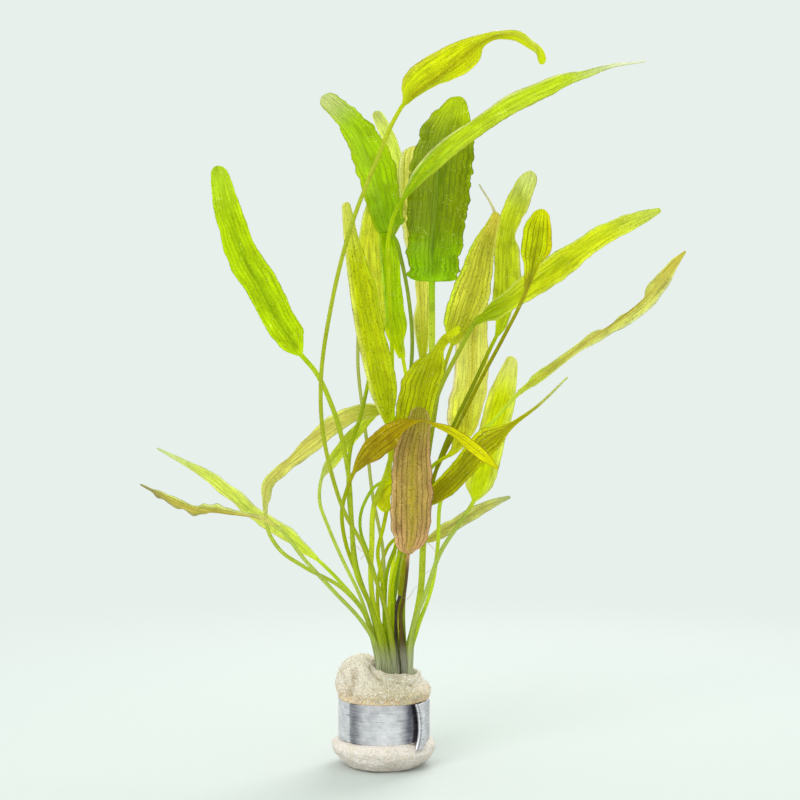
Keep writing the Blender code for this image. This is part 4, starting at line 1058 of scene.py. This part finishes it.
def fuzz_point(tube, row, turn):
    start, away, bend, length = threads[tube]
    t = row / (FUZZ_ROWS - 1)
    side = away.orthogonal().normalized()
    angle = math.tau * turn / FUZZ_SIDES
    round_it = (side * math.cos(angle) + away.cross(side) * math.sin(angle)) * FUZZ_RADIUS * (1.2 - t)
    point = start + away * (length * t - 0.15) + bend * (0.35 * t * t)
    point.z = max(point.z, 0.1)
    return point + round_it, ()


fuzz_mesh = rolled_tubes("foam_fuzz", FUZZ_SIDES, [FUZZ_ROWS] * FUZZ, fuzz_point)
join_into(foam_mesh, fuzz_mesh)
show(foam_mesh, foam_material, "foam_plug")
print("foam with fuzz:", count_triangles(foam_mesh))

# %% [markdown]
# ## Weight strip
# The strip is soft grey metal, rolled flat and bent round the foam by hand. It has a kink on the left where it
# was bent too far, and its loose end stands off and hangs a little lower.
#
# The metal is a rolled soft alloy, as used for weights. Rolling leaves fine lines 0.3 mm apart along its length,
# so its highlight spreads across them. A painted highlight brightens it low in the middle of its front, on the
# left facet and on its cut end, and painted shade darkens it by the kink, beside the cut end and in the gap under
# the loose end. It is a bare metal: metallic 1, roughness 0.26 to 0.5.

# %% The strip's size and finish
STRIP_THICK = 0.9
STRIP_START_RADIUS = 14.9
STRIP_GROWTH = 1.3
STRIP_CENTRE_X = -0.3
STRIP_START = 26.0
STRIP_TURN = 429.0
STRIP_BOW = 6.0  # how far the loose end's corners run on, in degrees
FLARE_ANGLE = 22.0
FLARE = 0.9
SAG = 2.0
FACET_TURN = -138.0  # the kink on the left, in degrees
FACET_DEPTH = 0.45
BRIGHT_X, SHADE_X, FACET_X, GAP_X = 1.0, -10.6, -11.9, 9.8  # where the painted highlight and painted shade lie on its front, in mm

metal, tree = new_material("rolled_soft_grey_metal")
where = add(tree, "TexCoord", {}, "Object")
# the painted highlight and painted shade kept on the strip's points
painted_light = add(tree, "Attribute", {}, "Fac", attribute_name="painted_light")
brushed = add(tree, "Mapping", {"Vector": where, "Scale": (60.0, 60.0, 3000.0)})  # 17 mm long, 0.3 mm apart
brushed = add(tree, "TexNoise", {"Vector": brushed, "Scale": 1.0, "Detail": 4.0}, "Fac")
scratches = add(tree, "Mapping", {"Vector": where, "Scale": (260.0, 260.0, 2600.0)})  # 4 mm long, 0.4 mm apart
scratches = add(tree, "TexNoise", {"Vector": scratches, "Scale": 1.0, "Detail": 3.0}, "Fac")
cloud = add(tree, "TexNoise", {"Vector": where, "Scale": 350.0, "Detail": 4.0}, "Fac")  # 3 mm wide
# the rolling lines and clouds together with the painted highlight and painted shade take the tone from dark grey to
# near white
level = add(tree, "Math", {0: brushed, 1: 0.6, 2: painted_light}, operation="MULTIPLY_ADD")
level = add(tree, "Math", {0: cloud, 1: 0.8, 2: level}, operation="MULTIPLY_ADD")
tone = lay_over(tree, colour("#64626E"), colour("#FAF6FC"), (level, 0.45, 1.7), interpolation="LINEAR")
tone = lay_over(tree, tone, colour("#5C5A66"), (scratches, 0.6, 0.7, 0.7), interpolation="LINEAR")
rough = add(tree, "Math", {0: cloud, 1: 0.25, 2: 0.26}, operation="MULTIPLY_ADD")
bump = add(tree, "Bump", {"Strength": 0.35, "Distance": 0.0002, "Height": level})
skin = add(tree, "BsdfPrincipled", {"Base Color": tone, "Metallic": 1.0, "Roughness": rough, "Normal": bump})
add(tree, "OutputMaterial", {"Surface": skin})


def painted_light_at(turned, to_end, rise):
    """The painted highlight and painted shade on the metal, about 0.5 where none is painted, this many degrees along
    the strip and short of its end, at a share of its height."""
    angle = math.radians(STRIP_START - turned)
    if to_end < 50.0:
        level = 0.62 - 0.3 * ease((to_end - 3.0) / 30.0)
        level -= 0.6 * math.exp(-(((to_end - 2.8) / 1.2) ** 2))
        return level + 0.9 * ease(1.0 - to_end / 1.4)
    if math.sin(angle) > 0:
        return 0.5
    right = math.cos(angle) * 16.0
    level = 0.45 + 0.4 * math.exp(-((right - BRIGHT_X) ** 2) / 50.0) * ease(1.3 - rise * 1.1)
    level -= 0.5 * math.exp(-((right - SHADE_X) ** 2) / 6.0) * ease((right - FACET_X + 0.4) / 0.5)
    level += 0.15 * ease((FACET_X - right) / 0.4)
    return level - 0.7 * math.exp(-((right - GAP_X) ** 2) / 5.0)


print("nodes in the metal:", len(tree.nodes))

# %% [markdown]
# The strip starts as a flat grid that is wound up, as the real strip was. A Solidify modifier then gives it its
# thickness, and a Bevel modifier takes the sharpness off the cut edges.

# %% The strip's shape
bm = bmesh.new()
bmesh.ops.create_grid(bm, x_segments=330, y_segments=28, size=1.0)
# each point's painted highlight and painted shade
keep_painted_light = bm.verts.layers.float.new("painted_light")
for vert in bm.verts:
    u, v = (vert.co.x + 1.0) / 2.0, (vert.co.y + 1.0) / 2.0
    end = STRIP_TURN + STRIP_BOW * (2.0 * v - 1.0) ** 2
    turned = end * u
    last = ease(1.0 - (STRIP_TURN - turned) / FLARE_ANGLE)
    z = STRIP_BOTTOM + STRIP_HEIGHT * v
    z -= SAG * (1.0 - v) * ease(1.0 - (STRIP_TURN - turned) / 36.0)
    z += 0.25 * noise.noise(Vector((turned / 14.0, v * 0.5, 9.0)))
    radius = STRIP_START_RADIUS + STRIP_GROWTH * turned / 360.0 + STRIP_THICK / 2 + FLARE * last
    angle = STRIP_START - turned
    kinked = (angle % 360.0) - 360.0 - FACET_TURN
    radius -= FACET_DEPTH * math.exp(-((kinked / 5.0) ** 2))
    radius += noise.noise(Vector((turned / 18.0, z / 6.0, 3.0))) * 0.14
    wrap = math.radians(angle)
    vert.co = Vector((STRIP_CENTRE_X + radius * math.cos(wrap), radius * math.sin(wrap), z)) * MM
    vert[keep_painted_light] = painted_light_at(turned, end - turned, v)
bmesh.ops.recalc_face_normals(bm, faces=bm.faces)
strip_mesh = as_mesh(bm, "metal_strip")
strip = show(strip_mesh, metal, "weight_band")
wall = strip.modifiers.new("wall", "SOLIDIFY")
wall.thickness = STRIP_THICK * MM
wall.offset = -1.0 if strip_mesh.polygons[0].normal.dot(strip_mesh.polygons[0].center) > 0 else 1.0
rounded = strip.modifiers.new("edge", "BEVEL")
rounded.width = 0.0002
rounded.segments = 2
print("faces of the wound strip, before its thickness:", len(strip_mesh.polygons))

# %% [markdown]
# ## Dead stalk
# One old stalk has died and broken off short. It is dark brown, shrunk and ridged, and pale at its foot like the
# others. It is one more rolled tube, whose radius swings five times on its way round for the ridges. Rotten plant
# tissue is matt, so its roughness is 0.6, and its browns change over about a millimetre.

# %% The dead stalk
dead, tree = new_material("dead_brown_stalk")
where = add(tree, "TexCoord", {}, "Object")
grain = add(tree, "TexNoise", {"Vector": where, "Scale": 900.0, "Detail": 4.0}, "Fac")
tone = lay_over(tree, colour("#1E160E"), colour("#4C3A24"), (grain, 0.35, 0.7), interpolation="LINEAR")
height = add(tree, "SeparateXYZ", {0: where}, "Z")
tone = lay_over(tree, tone, colour("#A8A68C"), (height, SHEATH_TOP, SHEATH_LOW, 0.8), interpolation="LINEAR")
bump = add(tree, "Bump", {"Strength": 0.6, "Distance": 0.0003, "Height": grain})
skin = add(tree, "BsdfPrincipled", {"Base Color": tone, "Roughness": 0.6, "Normal": bump})
add(tree, "OutputMaterial", {"Surface": skin})

STUB = [(4.2, -3.6, 46.4), (4.3, -4, 51.8), (4.7, -4.6, 57.6), (5.8, -5, 60.5)]
STUB_SIDES = 20
STUB_ROWS = 60
foot = Vector((FIRST_COLUMN_X + 4 * ROW_PITCH, FIRST_ROW_Y, STALK_END))
stub_line = smooth_line([foot, Vector((foot.x, foot.y, LIP))] + [place(p) for p in STUB])
stub_rows = stations(stub_line, even(STUB_ROWS))


def stub_point(tube, row, turn):
    centre, _, direction = stub_rows[row]
    angle = math.tau * turn / STUB_SIDES
    radius = 0.72 - 0.25 * row / STUB_ROWS + 0.12 * math.cos(angle * 5) + 0.1 * noise.noise(centre)
    return centre + round_section(direction, angle) * radius, ()


stub = rolled_tubes("dead_stalk_skin", STUB_SIDES, [STUB_ROWS], stub_point)
show(stub, dead, "dead_stalk")
print("dead stalk triangles:", count_triangles(stub))
